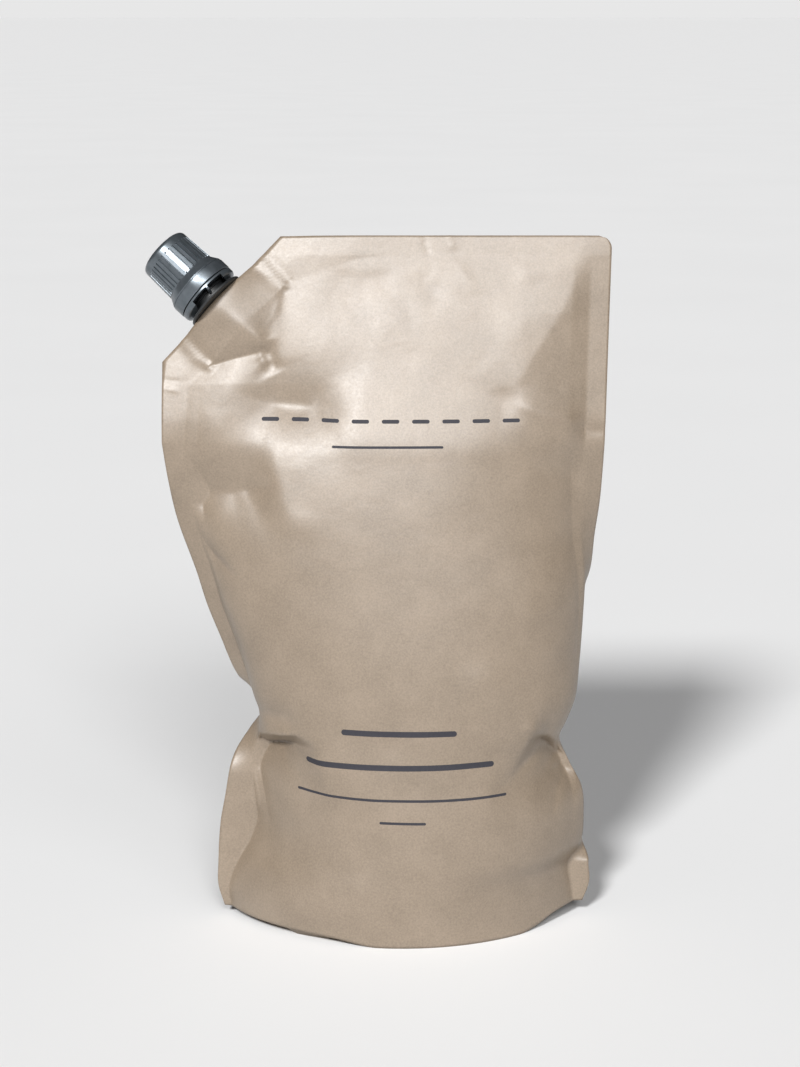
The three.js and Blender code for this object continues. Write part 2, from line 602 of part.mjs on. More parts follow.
// Stacks closed rings of points into one skin, capped at both ends
function stacked(rings) {
  const positions = [];
  const index = [];
  const count = rings[0].length;
  for (const ring of rings) {
    for (const [x, y, z] of ring) positions.push(x, y, z);
  }
  for (let r = 0; r + 1 < rings.length; r += 1) {
    for (let c = 0; c < count; c += 1) {
      const a = r * count + c;
      const b = r * count + (c + 1) % count;
      index.push(a, b, b + count, a, b + count, a + count);
    }
  }
  const addCap = (r, up) => {
    const hub = positions.length / 3;
    positions.push(0, 0, rings[r][0][2]);
    for (let c = 0; c < count; c += 1) {
      const a = r * count + c;
      const b = r * count + (c + 1) % count;
      if (up) index.push(hub, a, b);
      else index.push(hub, b, a);
    }
  };
  addCap(0, false);
  addCap(rings.length - 1, true);
  const skin = new THREE.BufferGeometry();
  skin.setAttribute('position', new THREE.Float32BufferAttribute(positions, 3));
  skin.setIndex(index);
  return skin;
}

// One ring of the cap: flat-faced ribs with a narrow groove between neighbours
function gripRing(radius, height, groove) {
  const ring = [];
  const pitch = 2 * Math.PI / GRIP_RIBS;
  const inset = [0, 0, groove, groove];
  const share = [0, 1 - GROOVE_SHARE, 1 - GROOVE_SHARE * 0.7, 1 - GROOVE_SHARE * 0.3];
  for (let rib = 0; rib < GRIP_RIBS; rib += 1) {
    for (let k = 0; k < 4; k += 1) {
      const turn = pitch * (rib + share[k]);
      const r = radius - inset[k];
      ring.push([r * Math.cos(turn), r * Math.sin(turn), height]);
    }
  }
  return ring;
}

function cap() {
  const collarTop = CAP_FOOT + CAP_COLLAR_HEIGHT;
  const flareTop = collarTop + CAP_FLARE_HEIGHT;
  const gripTop = CAP_TOP - CAP_TOP_ROUND - CAP_TOP_BAND;
  const rings = [
    gripRing(CAP_COLLAR_RADIUS - 0.3, CAP_FOOT, 0),
    gripRing(CAP_COLLAR_RADIUS, CAP_FOOT + 0.3, 0),
    gripRing(CAP_COLLAR_RADIUS, collarTop, 0),
    gripRing(CAP_COLLAR_RADIUS - 0.35, collarTop + 0.25, 0),
    gripRing(CAP_GRIP_RADIUS + 0.6, flareTop - 0.7, 0),
    gripRing(CAP_GRIP_RADIUS, flareTop, 0),
    gripRing(CAP_GRIP_RADIUS, flareTop + 0.3, GROOVE_DEPTH),
    gripRing(CAP_TOP_RADIUS, gripTop, GROOVE_DEPTH),
    gripRing(CAP_TOP_RADIUS, gripTop + 0.4, 0),
    gripRing(CAP_TOP_RADIUS - 0.1, CAP_TOP - CAP_TOP_ROUND, 0),
  ];
  for (const turn of [40, 75]) {
    const angle = THREE.MathUtils.degToRad(turn);
    const inwards = CAP_TOP_ROUND * (1 - Math.cos(angle));
    const up = CAP_TOP_ROUND * Math.sin(angle);
    rings.push(gripRing(CAP_TOP_RADIUS - 0.1 - inwards, CAP_TOP - CAP_TOP_ROUND + up, 0));
  }
  const collarBore = BEAD_RADIUS + CLEARANCE;
  const bore = turned([
    [0, CAP_FOOT - 1], [collarBore, CAP_FOOT - 1], [collarBore, BEAD_FOOT + BEAD_HEIGHT + CLEARANCE],
    [CAP_BORE_RADIUS, BEAD_FOOT + BEAD_HEIGHT + 2], [CAP_BORE_RADIUS, CAP_TOP - CAP_TOP_WALL],
    [0, CAP_TOP - CAP_TOP_WALL],
  ]);
  return toGeometry(toSolid(stacked(rings)).subtract(toSolid(bore)));
}

// Scene
const kraft = new THREE.MeshStandardMaterial({ color: '#c4b09a', roughness: 0.75, metalness: 0 });
const steelGrey = new THREE.MeshStandardMaterial({ color: '#6c757b', roughness: 0.35, metalness: 0.4 });
const darkGrey = new THREE.MeshStandardMaterial({ color: '#4c5357', roughness: 0.4, metalness: 0.3 });

const pack = new THREE.Group();

function addPiece(name, geometry, material) {
  const mesh = new THREE.Mesh(geometry, material);
  mesh.name = name;
  pack.add(mesh);
}

addPiece('pouch', pouch(), kraft);
addPiece('spout', onSpout(spout()), darkGrey);
addPiece('tamper_ring', onSpout(tamperRing()), steelGrey);
addPiece('cap', onSpout(cap()), steelGrey);

export default pack;
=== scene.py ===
"""Studio scene of a stand-up refill pouch with a screw-capped corner spout.

The scene is in metres, +Z up. Named lengths are in millimetres and angles in degrees.
"""
import math

import bpy
import numpy as np
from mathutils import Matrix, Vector


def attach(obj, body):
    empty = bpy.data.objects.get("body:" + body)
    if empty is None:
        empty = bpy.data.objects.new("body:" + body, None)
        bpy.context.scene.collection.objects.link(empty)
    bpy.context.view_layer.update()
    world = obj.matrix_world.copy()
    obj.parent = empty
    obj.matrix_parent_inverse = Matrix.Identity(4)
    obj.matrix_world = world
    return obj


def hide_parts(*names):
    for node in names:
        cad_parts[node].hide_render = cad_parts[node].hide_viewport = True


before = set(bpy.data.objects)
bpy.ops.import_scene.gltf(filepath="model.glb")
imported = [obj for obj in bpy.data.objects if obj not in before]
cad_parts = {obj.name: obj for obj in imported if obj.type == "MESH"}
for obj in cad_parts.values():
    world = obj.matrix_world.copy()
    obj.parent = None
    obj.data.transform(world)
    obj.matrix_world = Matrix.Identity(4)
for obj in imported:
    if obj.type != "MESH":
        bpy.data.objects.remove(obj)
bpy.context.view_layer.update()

MM = 0.001

# Film and seals. The top seal curls back by the share TOP_CURL of its height.
CLEARANCE = 0.3
PACK_HEIGHT = 290.0
SEAL_THICKNESS = 0.7
SIDE_SEAL = 8.4
TOP_SEAL = 8.0
TOP_CURL = 0.08
TOP_CORNER_RADIUS = 5.5
LEFT_EDGE_X = -99.2
CUT_FOOT_Z = 238.4
CUT_TOP_X = -51.0
WELD_DEPTH = 14.2
SKIRT_HEIGHT = 4.0
SKIRT_THICKNESS = 0.7
PAD_HALF_LENGTH = 45.0
GUSSET_RISE = 18.0
BOAT_HALF_LENGTH = 17.0
BOAT_HALF_THICKNESS = 6.2
LENS_POWER = 1.3

# The empty upper part leans back above the filling, and the spout's corner a little more
LEAN = 14.0
LEAN_FROM_Z = 200.0
LEAN_BEND = 18.0
CORNER_LEAN = 4.5
CORNER_LEAN_DEPTH = 24.0
CORNER_LEAN_ROUNDING = 3.0

# Spout, ring and cap. The spout sits a little below the middle of the cut edge.
SPOUT_ALONG = -2.1
BOAT_DEPTH = 12.0
BOAT_TOP = -0.4
STEM_WALL = 0.8
BOAT_BORE_RADIUS = 5.1
WELD_RIB = 0.35
WELD_RIBS = 3
FLANGE_RADIUS = 13.5
FLANGE_THICKNESS = 1.2
NECK_RADIUS = 8.6
NECK_BORE_RADIUS = 6.5
BEAD_PROUD = 0.9
BEAD_HEIGHT = 1.4
RING_RADIUS = 13.6
RING_HEIGHT = 3.6
RING_FOOT_RADIUS = 11.0
RING_ABOVE_FLANGE = 1.1
RING_LIP = 1.2
WINDOW_WIDTH = 7.6
WINDOW_HEIGHT = 2.7
WINDOW_POST = 0.9
WINDOW_PAIR_TURN = 5
CAP_HEIGHT = 25.0
CAP_TOP_RADIUS = 11.3
CAP_GRIP_RADIUS = 11.8
CAP_COLLAR_RADIUS = RING_RADIUS + 0.2
CAP_COLLAR_HEIGHT = 4.9
CAP_FLARE_HEIGHT = 3.6
CAP_TOP_ROUND = 2.0
CAP_TOP_BAND = 1.7
CAP_TOP_WALL = 1.6
COLLAR_STEP = 0.35
GRIP_RIBS = 36
GROOVE_DEPTH = 0.5

# Shares of a rib's pitch: its groove, the corner beside the groove, and two points on the flat face.
# The last one is the share of a groove that its floor takes.
GROOVE_SHARE = 0.34
RIB_CORNER = 0.03
RIB_POINTS = (0.34, 0.66)
GROOVE_FLOOR = 0.62

# How much a cut edge is rounded, and the angle from which an edge is shown sharp
EDGE_ROUNDING = 0.12
SHARP_EDGE = 34

# Heights along the spout's axis, measured from the cut edge
FLANGE_TOP = CLEARANCE + FLANGE_THICKNESS
RING_FOOT = FLANGE_TOP + RING_ABOVE_FLANGE
RING_TOP = RING_FOOT + RING_HEIGHT
CAP_FOOT = RING_TOP + CLEARANCE
CAP_TOP = CAP_FOOT + CAP_HEIGHT
MOUTH = CAP_TOP - CAP_TOP_WALL - CLEARANCE
COLLAR_TOP = CAP_FOOT + CAP_COLLAR_HEIGHT
FLARE_TOP = COLLAR_TOP + CAP_FLARE_HEIGHT
GRIP_TOP = CAP_TOP - CAP_TOP_ROUND - CAP_TOP_BAND
BEAD_FOOT = RING_FOOT + RING_LIP + CLEARANCE
BEAD_TOP = BEAD_FOOT + BEAD_HEIGHT

# Radii that fit round one another
BEAD_RADIUS = NECK_RADIUS + BEAD_PROUD
CAP_BORE_RADIUS = NECK_RADIUS + CLEARANCE
COLLAR_BORE_RADIUS = BEAD_RADIUS + CLEARANCE

# Mesh fineness, and the spans of height, and of a panel's width from -1 to 1, that have more rows or
# columns: from, to, times as many
ROWS = 276
PANEL_COLUMNS = 148
FIN_COLUMNS = 9
GUSSET_LINES = 15
FINE_ROWS = [(66, 96, 1.6), (226, 284, 2.2)]
FINE_COLUMNS = [(-1, -0.45, 2.0)]
ROUND_STEPS = 144
ARC_STEPS = 5
LENS_STEPS = 28

# The cut edge's direction, and the point on it where the spout's axis starts
cut_run = CUT_TOP_X - LEFT_EDGE_X
cut_rise = PACK_HEIGHT - CUT_FOOT_Z
cut_length = math.hypot(cut_run, cut_rise)
cut_ax, cut_az = cut_run / cut_length, cut_rise / cut_length
cut_mx = (CUT_TOP_X + LEFT_EDGE_X) / 2 + SPOUT_ALONG * cut_ax
cut_mz = (PACK_HEIGHT + CUT_FOOT_Z) / 2 + SPOUT_ALONG * cut_az
SPOUT_TILT = math.atan2(cut_az, cut_ax)


# Curves
def through(*points):
    """Smooth curve through a few (position, value) points, held level past its ends."""
    at = np.array([p[0] for p in points], float)
    value = np.array([p[1] for p in points], float)
    low = np.maximum(np.arange(len(at)) - 1, 0)
    high = np.minimum(np.arange(len(at)) + 1, len(at) - 1)
    slope = (value[high] - value[low]) / (at[high] - at[low])

    def curve(x):
        x = np.clip(np.asarray(x, float), at[0], at[-1])
        i = np.clip(np.searchsorted(at, x) - 1, 0, len(at) - 2)
        span = at[i + 1] - at[i]
        t = (x - at[i]) / span
        rise = value[i + 1] - value[i]
        bend = (slope[i] * span - rise) * (1 - t) - (slope[i + 1] * span - rise) * t
        return value[i] + rise * t + t * (1 - t) * bend

    return curve


def straight(*points):
    """Straight lines through a few (position, value) points, held level past its ends."""
    at = [p[0] for p in points]
    value = [p[1] for p in points]
    return lambda x: np.interp(x, at, value)


def smoothstep(x, low, high):
    """0 below low and 1 above high, with a smooth change between."""
    t = np.clip((x - low) / (high - low), 0, 1)
    return t * t * (3 - 2 * t)


def spaced(count, start, end, *closer):
    """Positions from start to end, more densely over each (low, high, times) span."""
    at = np.linspace(start, end, 2001)
    ease = (end - start) * 0.03
    density = np.ones_like(at)
    for low, high, times in closer:
        rising = smoothstep(at, low - ease, low)
        falling = 1 - smoothstep(at, high, high + ease)
        density += (times - 1) * rising * falling
    total = np.concatenate([[0], np.cumsum(density[1:] + density[:-1])])
    return np.interp(np.linspace(0, total[-1], count), total, at)


# Filled shape by height: where the side seams run, how far their seals stand out beside them, how many
# degrees these turn back, how deep each panel bulges, and how many degrees of an ellipse its section
# takes to each side
SEAM_FLAT_Z = 205
left_root = through(
    (0, -74), (11, -75), (24, -71), (33, -66), (43, -62.6), (52, -63.3), (66, -64.3), (80, -61.8),
    (90, -61), (97, -63), (120, -70), (136, -75.6), (150, -79.4), (172, -86), (190, -89),
    (SEAM_FLAT_Z, LEFT_EDGE_X + SIDE_SEAL))
left_ear = through((0, 3), (11, 4.6), (24, 8.4), (33, 13), (43, 15.4), (52, 13), (66, 9.5),
                   (80, SIDE_SEAL))
left_turn = through((52, 0), (66, 5), (80, 60), (90, 100), (97, 85), (104, 50), (120, 36), (150, 30),
                    (172, 22), (190, 10), (SEAM_FLAT_Z, 0))
right_root = through(
    (0, 72), (11, 71), (24, 70), (33, 75), (45, 76), (57, 75), (68, 69.5), (79, 65.2), (86, 67.5),
    (97, 71.5), (110, 73), (134, 74.3), (150, 74.6), (165, 73), (182, 73), (SEAM_FLAT_Z, 73.6),
    (250, 75), (PACK_HEIGHT, 76.4))
right_ear = through((0, 4), (11, 7.8), (24, SIDE_SEAL), (33, 5), (45, SIDE_SEAL))
right_turn = through((24, 0), (33, 80), (45, 100), (134, 100), (150, 70), (165, 45), (182, 20),
                     (SEAM_FLAT_Z, 0))
seam_y = through((0, 0), (40, 1), (90, 3), (134, 2), (SEAM_FLAT_Z, 0))
panel_depth = through(
    (0, 37), (20, 38.5), (45, 38.5), (70, 37.5), (84, 36.5), (97, 35.6), (110, 34), (120, 32.4),
    (134, 29.6), (150, 26.1), (165, 22.6), (182, 18.1), (200, 12.8), (216, 8.2), (235, 5.3), (256, 3.2),
    (271, 1.5), (PACK_HEIGHT - TOP_SEAL, 0))
panel_sweep = through(
    (0, 52), (30, 62), (60, 78), (84, 92), (97, 92), (110, 90), (134, 88), (150, 85), (172, 81),
    (200, 74), (230, 64), (PACK_HEIGHT, 48))

# How high the rim's corners stand above the floor, by their place from left to right
corner_lift = through(
    (-79, 4.4), (-67, 3.2), (-48, 3.2), (-30, 2.6), (-12, 0), (0, 0), (48, 0), (56, 2.2), (64, 5.2),
    (79, 6.6))
LIFT_FADES_AT = 26

# Seam beside the spout's weld
WELD_FOOT_Z = CUT_FOOT_Z - 9.4
WELD_HEAD_Z = PACK_HEIGHT - 21
weld_reach = WELD_DEPTH / cut_az


def cut_x(z):
    """Where the cut edge's line is at a height."""
    return LEFT_EDGE_X + (z - CUT_FOOT_Z) * cut_ax / cut_az


weld_root = straight(
    (WELD_FOOT_Z, LEFT_EDGE_X + SIDE_SEAL),
    (CUT_FOOT_Z - 1, LEFT_EDGE_X + weld_reach - 1.6),
    (WELD_HEAD_Z, cut_x(WELD_HEAD_Z) + weld_reach),
    (PACK_HEIGHT - TOP_SEAL, CUT_TOP_X + 16.5))


# Folds of the filled film. Each is a line of front-view (x, z) points in millimetres with its depth,
# its reach to the left and to the right of the line's direction, its sharpness and how its ends fade.
SHARP, SOFT = 1.0, 2.0


def fold(points, depth, left, right, power=SOFT, fade=(0.15, 0.15)):
    return {"points": points, "depth": depth, "left": left, "right": right, "power": power,
            "fade": fade}


FRONT_FOLDS = [
    # Waist: the filled base pushes out under the panel, which folds over it from both side seams
    fold([(-69, 72), (-58, 76.5), (-46, 81), (-35, 83)], 16, 4.5, 12, SHARP, (0, 0.5)),
    fold([(-66, 79), (-57, 84.5), (-46, 87), (-36, 85)], -3.8, 4.0, 2.6, SHARP, (0.1, 0.5)),
    fold([(-64, 92), (-52, 93.5), (-42, 92)], 1.6, 4, 3, SOFT, (0.1, 0.5)),
    fold([(50, 85), (57, 82), (63, 73), (72, 67)], 10.5, 4.5, 11, SHARP, (0.35, 0)),
    fold([(46, 89), (52, 91), (61, 81), (70, 77)], -2.6, 3.4, 2.4, SHARP, (0.3, 0.2)),
    # Spout: the film narrows behind the weld and pinches together, with a dent below
    fold([(-49.3, 268.7), (-53.5, 257), (-59.5, 247)], -0.9, 3.5, 5, SHARP, (0.25, 0.15)),
    fold([(-60.3, 247), (-58.6, 240), (-55.5, 233)], -2.0, 5.0, 2.6, SHARP, (0.15, 0.4)),
    fold([(-57.2, 246), (-55.4, 240), (-52.0, 233)], 1.8, 2.8, 5.0, SOFT, (0.2, 0.4)),
    fold([(-72, 226), (-54, 221), (-37, 219), (-18, 216.5)], 5.5, 11, 13, 1.6, (0.42, 0.5)),
    fold([(-80.2, 236.8), (-49.3, 268.7)], 0.35, 0.5, 1.2, SHARP, (0, 0)),
    # Left side: a broad hollow in the shoulder, and the creases where the side seam turns back
    fold([(-89, 184), (-70, 185.5), (-50, 190)], 6.0, 14, 12, 1.3, (0.05, 0.4)),
    fold([(-88, 172), (-80, 160.5), (-67, 150)], 2.4, 1.6, 8, SHARP, (0.2, 0.4)),
    fold([(-80, 154), (-76, 132)], -1.6, 2.5, 3, SHARP, (0.3, 0.3)),
    fold([(-78, 140), (-72, 118), (-65, 99)], 3.2, 3, 7, SOFT, (0.3, 0.3)),
    # Right side: a broad slanting ridge, a crest across its foot, and a hollow along the seam
    fold([(76, 282), (61, 253.5), (45, 228), (40, 220)], -1.5, 15, 18, 1.2, (0.15, 0.2)),
    fold([(40, 221), (48, 219.5), (57, 216.6), (79, 211)], -1.7, 5, 8, 1.3, (0.3, 0.3)),
    fold([(77, 208), (80, 165), (81, 130), (78, 98)], 4.0, 15, 15, SOFT, (0.15, 0.2)),
    # Under the top seal
    fold([(18.5, 283), (24, 274.5), (30, 264)], -0.9, 3, 4.5, SHARP, (0.1, 0.6)),
    fold([(5, 277), (11, 268), (18, 260)], 0.8, 4, 5, SOFT, (0.3, 0.5)),
    fold([(-34, 275), (-18, 271.5), (0, 274)], 0.9, 4, 7, SOFT, (0.3, 0.3)),
    fold([(-32, 284), (-40, 277.6), (-49, 269.5)], -1.3, 2.5, 3.5, SHARP, (0.1, 0.3)),
    fold([(41, 272.6), (59, 278.8), (76, 281)], -1.0, 4, 5, SOFT, (0.3, 0.1)),
    # Base
    fold([(65.7, 69.6), (67.5, 65), (63.7, 59), (61.4, 48)], 1.6, 2.0, 6, SHARP, (0.1, 0.5)),
    fold([(-63.6, 68), (-61, 52), (-62, 42), (-68, 30)], 1.8, 6, 2.2, SHARP, (0.2, 0.4)),
    fold([(20, 114), (34, 111), (46, 104)], -0.9, 6, 9, SOFT, (0.4, 0.4)),
]


CREASE_HALF_LENGTH = (7, 18)
CREASE_BEND = (-2.5, 2.5)
CREASE_REACH = (2.5, 8)
CREASE_FADE = (0.45, 0.45)
CREASE_POWER = 1.4


def small_creases(seed, count, x_span, z_span, steepness):
    """Short faint creases of crumpled film, scattered over part of a panel."""
    draw = np.random.default_rng(seed)
    creases = []
    for _ in range(count):
        x, z = draw.uniform(*x_span), draw.uniform(*z_span)
        turn = math.radians(draw.normal(90, 45))
        half = draw.uniform(*CREASE_HALF_LENGTH)
        bend = draw.uniform(*CREASE_BEND)
        dx, dz = math.cos(turn), math.sin(turn)
        line = [(x - half * dx, z - half * dz), (x + bend * dz, z - bend * dx),
                (x + half * dx, z + half * dz)]
        depth = draw.choice([-1, 1]) * draw.uniform(0.5, 1.0) * steepness
        left, right = draw.uniform(*CREASE_REACH), draw.uniform(*CREASE_REACH)
        creases.append(fold(line, depth, left, right, CREASE_POWER, CREASE_FADE))
    return creases


FRONT_FOLDS += small_creases(3, 26, (-46, 70), (222, 281), 0.24)
FRONT_FOLDS += small_creases(5, 12, (-84, -40), (150, 228), 0.35)
FRONT_FOLDS += small_creases(8, 12, (48, 76), (96, 205), 0.35)
FRONT_FOLDS += small_creases(9, 12, (-62, 66), (60, 110), 0.35)

# The back has the same kinds of folds, fewer and softer
BACK_FOLDS = [
    fold([(-68, 84), (-56, 88), (-34, 82)], 5.0, 1.2, 13, SHARP, (0, 0.5)),
    fold([(38, 86), (56, 85), (72, 78)], 4.5, 1.2, 11, SHARP, (0.5, 0)),
    fold([(-62, 244), (-46, 232), (-28, 214)], 3.0, 10, 8, SOFT, (0.1, 0.5)),
    fold([(-49, 268), (-56, 254), (-60, 244)], -1.0, 4, 4, SHARP, (0.2, 0.2)),
    fold([(78, 190), (60, 196), (38, 200)], 4.0, 10, 14, SOFT, (0.1, 0.5)),
    fold([(-86, 176), (-70, 166), (-52, 162)], 2.6, 6, 9, SOFT, (0.1, 0.5)),
    fold([(74, 262), (50, 240), (34, 216)], -2.0, 12, 12, SOFT, (0.2, 0.4)),
    fold([(14, 284), (18, 262)], -0.7, 3, 4, SHARP, (0.1, 0.6)),
]
BACK_FOLDS += small_creases(12, 26, (-50, 72), (215, 280), 0.35)
BACK_FOLDS += small_creases(14, 20, (-80, 76), (70, 205), 0.35)

# Small wrinkles that run over a flat seal, front and back together
SEAL_FOLDS = [
    fold([(-99, 231), (-90, 230)], 0.22, 0.9, 0.9, SHARP, (0, 0.4)),
    fold([(-99, 227.5), (-91, 225.7)], -0.22, 1.0, 0.9, SHARP, (0, 0.4)),
    fold([(-91, 247), (-85, 240), (-77, 234)], -0.8, 1.4, 1.6, 1.4, (0, 0.2)),
    fold([(-88, 249), (-83, 243), (-77, 237)], 0.6, 1.2, 1.2, 1.4, (0, 0.2)),
    fold([(-59.2, 279.8), (-53, 273), (-47.3, 267.7)], -0.8, 1.4, 1.4, 1.4, (0, 0.2)),
    fold([(-57.2, 282), (-51, 275), (-45.3, 269.7)], 0.5, 1.2, 1.2, 1.4, (0, 0.2)),
    fold([(69, 212.8), (76.6, 210.3), (84, 210.3)], 0.9, 1.4, 2.2, SHARP, (0.4, 0)),
    fold([(7.6, 290), (9.8, 281)], 0.4, 1.0, 1.0, SHARP, (0, 0.4)),
    fold([(18, 290), (20, 283)], -0.3, 1.4, 1.0, SHARP, (0, 0.4)),
]


def near_line(points, x, z):
    """How far front-view points are from a line, on which side (-1 to 1), and at which share of it.

    The nearer of its segments count most, so that nothing jumps inside a bend or round an end.
    """
    points = np.array(points, float)
    lengths = np.hypot(*(points[1:] - points[:-1]).T)
    weights = side = share = 0.0
    run = 0.0
    for (x0, z0), (x1, z1), length in zip(points[:-1], points[1:], lengths):
        dx, dz = (x1 - x0) / length, (z1 - z0) / length
        along = np.clip((x - x0) * dx + (z - z0) * dz, 0, length)
        distance = np.hypot(x - x0 - along * dx, z - z0 - along * dz) + 1e-3
        weight = distance ** -4
        weights = weights + weight
        side = side + weight * ((x - x0) * dz - (z - z0) * dx) / distance
        share = share + weight * (run + along) / lengths.sum()
        run += length
    return weights ** -0.25, side / weights, share / weights


def fold_depth(folds, x, z):
    """How far the film sinks at front-view points."""
    sunk = np.zeros_like(x)
    for line in folds:
        away, side, share = near_line(line["points"], x, z)
        reach = line["left"] + (line["right"] - line["left"]) * smoothstep(side, -1, 1)
        profile = np.exp(-((away / reach) ** line["power"]))
        fade_in, fade_out = line["fade"]
        if fade_in:
            profile = profile * smoothstep(share, -0.02, fade_in)
        if fade_out:
            profile = profile * smoothstep(1 - share, -0.02, fade_out)
        sunk += line["depth"] * profile
    return sunk


# Film over the boat, by distance in from the cut edge. It changes from a lens to a tent whose ridge
# runs down to the pinch; the left flank ends in a sharp corner there, and the right one eases out.
left_wrap = through((0, 7.3), (13, 7.3), (18, 6.6), (23, 5.4), (27, 3.2), (30, 0.8), (34, 0))
right_wrap = through((0, 7.3), (13, 7.3), (18, 6.2), (23, 4.4), (30, 2.0), (38, 0.3), (44, 0))
left_half_width = straight((0, 22), (15.4, 22), (27, 3.5), (34, 3))
right_half_width = straight((0, 22), (15.4, 23), (23, 17), (44, 14))
TENT_FROM, TENT_TO = 1, 11
TENT_ROUNDING = 0.07
FLANK_BLEND = 7

# The valley where this tent meets the panel is rounded, once the tent is this high
VALLEY_ROUNDING = 1.4
VALLEY_FULL_AT = 2

# Slanting ridge of the upper right corner, from end to end, and the heights where it eases out
RIDGE_TOP, RIDGE_FOOT = (74, 284), (40, 222)
RIDGE_SLOPE = 0.11
RIDGE_ROUNDING = 3.5
RIDGE_FROM_Z, RIDGE_FULL_Z = 140, 212

# Folds are full beyond this share of a panel's half width from its seam, and where it is this deep
FOLDS_BESIDE_SEAM = 1 / 7
FOLDS_FULL_DEPTH = 3


def boat_bulge(x, z):
    """How far the film stands out over the spout's boat."""
    dx, dz = x - cut_mx, z - cut_mz
    along = dx * cut_ax + dz * cut_az
    inwards = dx * cut_az - dz * cut_ax
    half_width = np.where(along < 0, left_half_width(inwards), right_half_width(inwards))
    share = np.clip(np.abs(along) / half_width, 0, 1)
    lens = np.cos(share * np.pi / 2) ** LENS_POWER
    tent = 1 - np.sqrt(share ** 2 + TENT_ROUNDING ** 2) * (1 - TENT_ROUNDING)
    change = smoothstep(inwards, TENT_FROM, TENT_TO)
    right = smoothstep(along, 0, FLANK_BLEND)
    height = left_wrap(inwards) + (right_wrap(inwards) - left_wrap(inwards)) * right
    return height * np.maximum(lens + (tent - lens) * change, 0)


def right_facet(x, z):
    """The upper right corner turns back behind a slanting ridge, and eases out below it."""
    (x0, z0), (x1, z1) = RIDGE_TOP, RIDGE_FOOT
    length = math.hypot(x1 - x0, z1 - z0)
    beyond = ((z1 - z0) * (x0 - x) - (x1 - x0) * (z0 - z)) / length
    rounded = RIDGE_ROUNDING * np.logaddexp(0, beyond / RIDGE_ROUNDING)
    return RIDGE_SLOPE * rounded * smoothstep(z, RIDGE_FROM_Z, RIDGE_FULL_Z)


def lean_corner(x, y, z):
    """Leans the spout's corner back about a line across the corner, with a rounded start."""
    inwards = (x - cut_mx) * cut_az - (z - cut_mz) * cut_ax
    short = (CORNER_LEAN_DEPTH - inwards) / CORNER_LEAN_ROUNDING
    beyond = CORNER_LEAN_ROUNDING * np.logaddexp(0, short)
    lean = math.radians(CORNER_LEAN)
    angle = lean / (1 + np.exp(-short))
    outwards = -y * np.sin(angle) - beyond * (1 - math.cos(lean))
    return x - cut_az * outwards, y * np.cos(angle) + beyond * math.sin(lean), z + cut_ax * outwards


def lean_back(x, y, z):
    """Leans everything above the filling back, round a bend of even curvature."""
    lean = math.radians(LEAN)
    beyond = np.maximum(z - LEAN_FROM_Z - LEAN_BEND, 0)
    angle = lean * np.clip(z - LEAN_FROM_Z, 0, LEAN_BEND) / LEAN_BEND
    radius = LEAN_BEND / lean
    centre_y = radius * (1 - np.cos(angle)) + beyond * math.sin(lean)
    centre_z = np.minimum(z, LEAN_FROM_Z) + radius * np.sin(angle) + beyond * math.cos(lean)
    return x, centre_y + y * np.cos(angle), centre_z - y * np.sin(angle)


def left_fin(level, left, y0):
    """The left seal from its edge to the seam: x and y grids."""
    fin = np.linspace(1, 0, FIN_COLUMNS, endpoint=False)[None, :]
    in_weld = level > WELD_FOOT_Z
    width = np.where(in_weld, left - np.maximum(cut_x(level), LEFT_EDGE_X), left_ear(level))
    angle = np.radians(np.where(in_weld, 0, left_turn(level)))
    return left - width * fin * np.cos(angle), y0 + width * fin * np.sin(angle)


def right_fin(level, right, y0):
    """The right seal from the seam to its edge, with the rounded top corner: x and y grids."""
    fin = np.linspace(1, 0, FIN_COLUMNS, endpoint=False)[None, ::-1]
    drop = np.clip(level - (PACK_HEIGHT - TOP_CORNER_RADIUS), 0, TOP_CORNER_RADIUS)
    cut_back = TOP_CORNER_RADIUS - np.sqrt(TOP_CORNER_RADIUS ** 2 - drop ** 2)
    width = right_ear(level) - cut_back
    angle = np.radians(right_turn(level))
    return right + width * fin * np.cos(angle), y0 + width * fin * np.sin(angle)


def smooth_side(level, side):
    """One side without folds: x and y grids over rows and columns, and how fully folds show there."""
    y0 = seam_y(level)
    left = np.where(level > WELD_FOOT_Z, weld_root(level), left_root(level))
    right = right_root(level)
    left_x, left_y = left_fin(level, left, y0)
    right_x, right_y = right_fin(level, right, y0)

    centre, half = (left + right) / 2, (right - left) / 2
    depth = panel_depth(level)
    sweep = np.radians(panel_sweep(level))
    w = spaced(PANEL_COLUMNS + 1, -1, 1, *FINE_COLUMNS)[None, :]
    out = (np.cos(w * sweep) - np.cos(sweep)) / (1 - np.cos(sweep))
    panel_x = centre + half * np.sin(w * sweep) / np.sin(sweep)
    panel_y = y0 + side * depth * out
    from_seam = np.minimum((1 - np.abs(w)) / FOLDS_BESIDE_SEAM, 1)
    from_seam = from_seam * np.minimum(depth / FOLDS_FULL_DEPTH, 1)

    flat = np.zeros(left_x.shape)
    x = np.hstack([left_x, panel_x, right_x])
    y = np.hstack([left_y, panel_y, right_y])
    return x, y, np.hstack([flat, from_seam, flat])


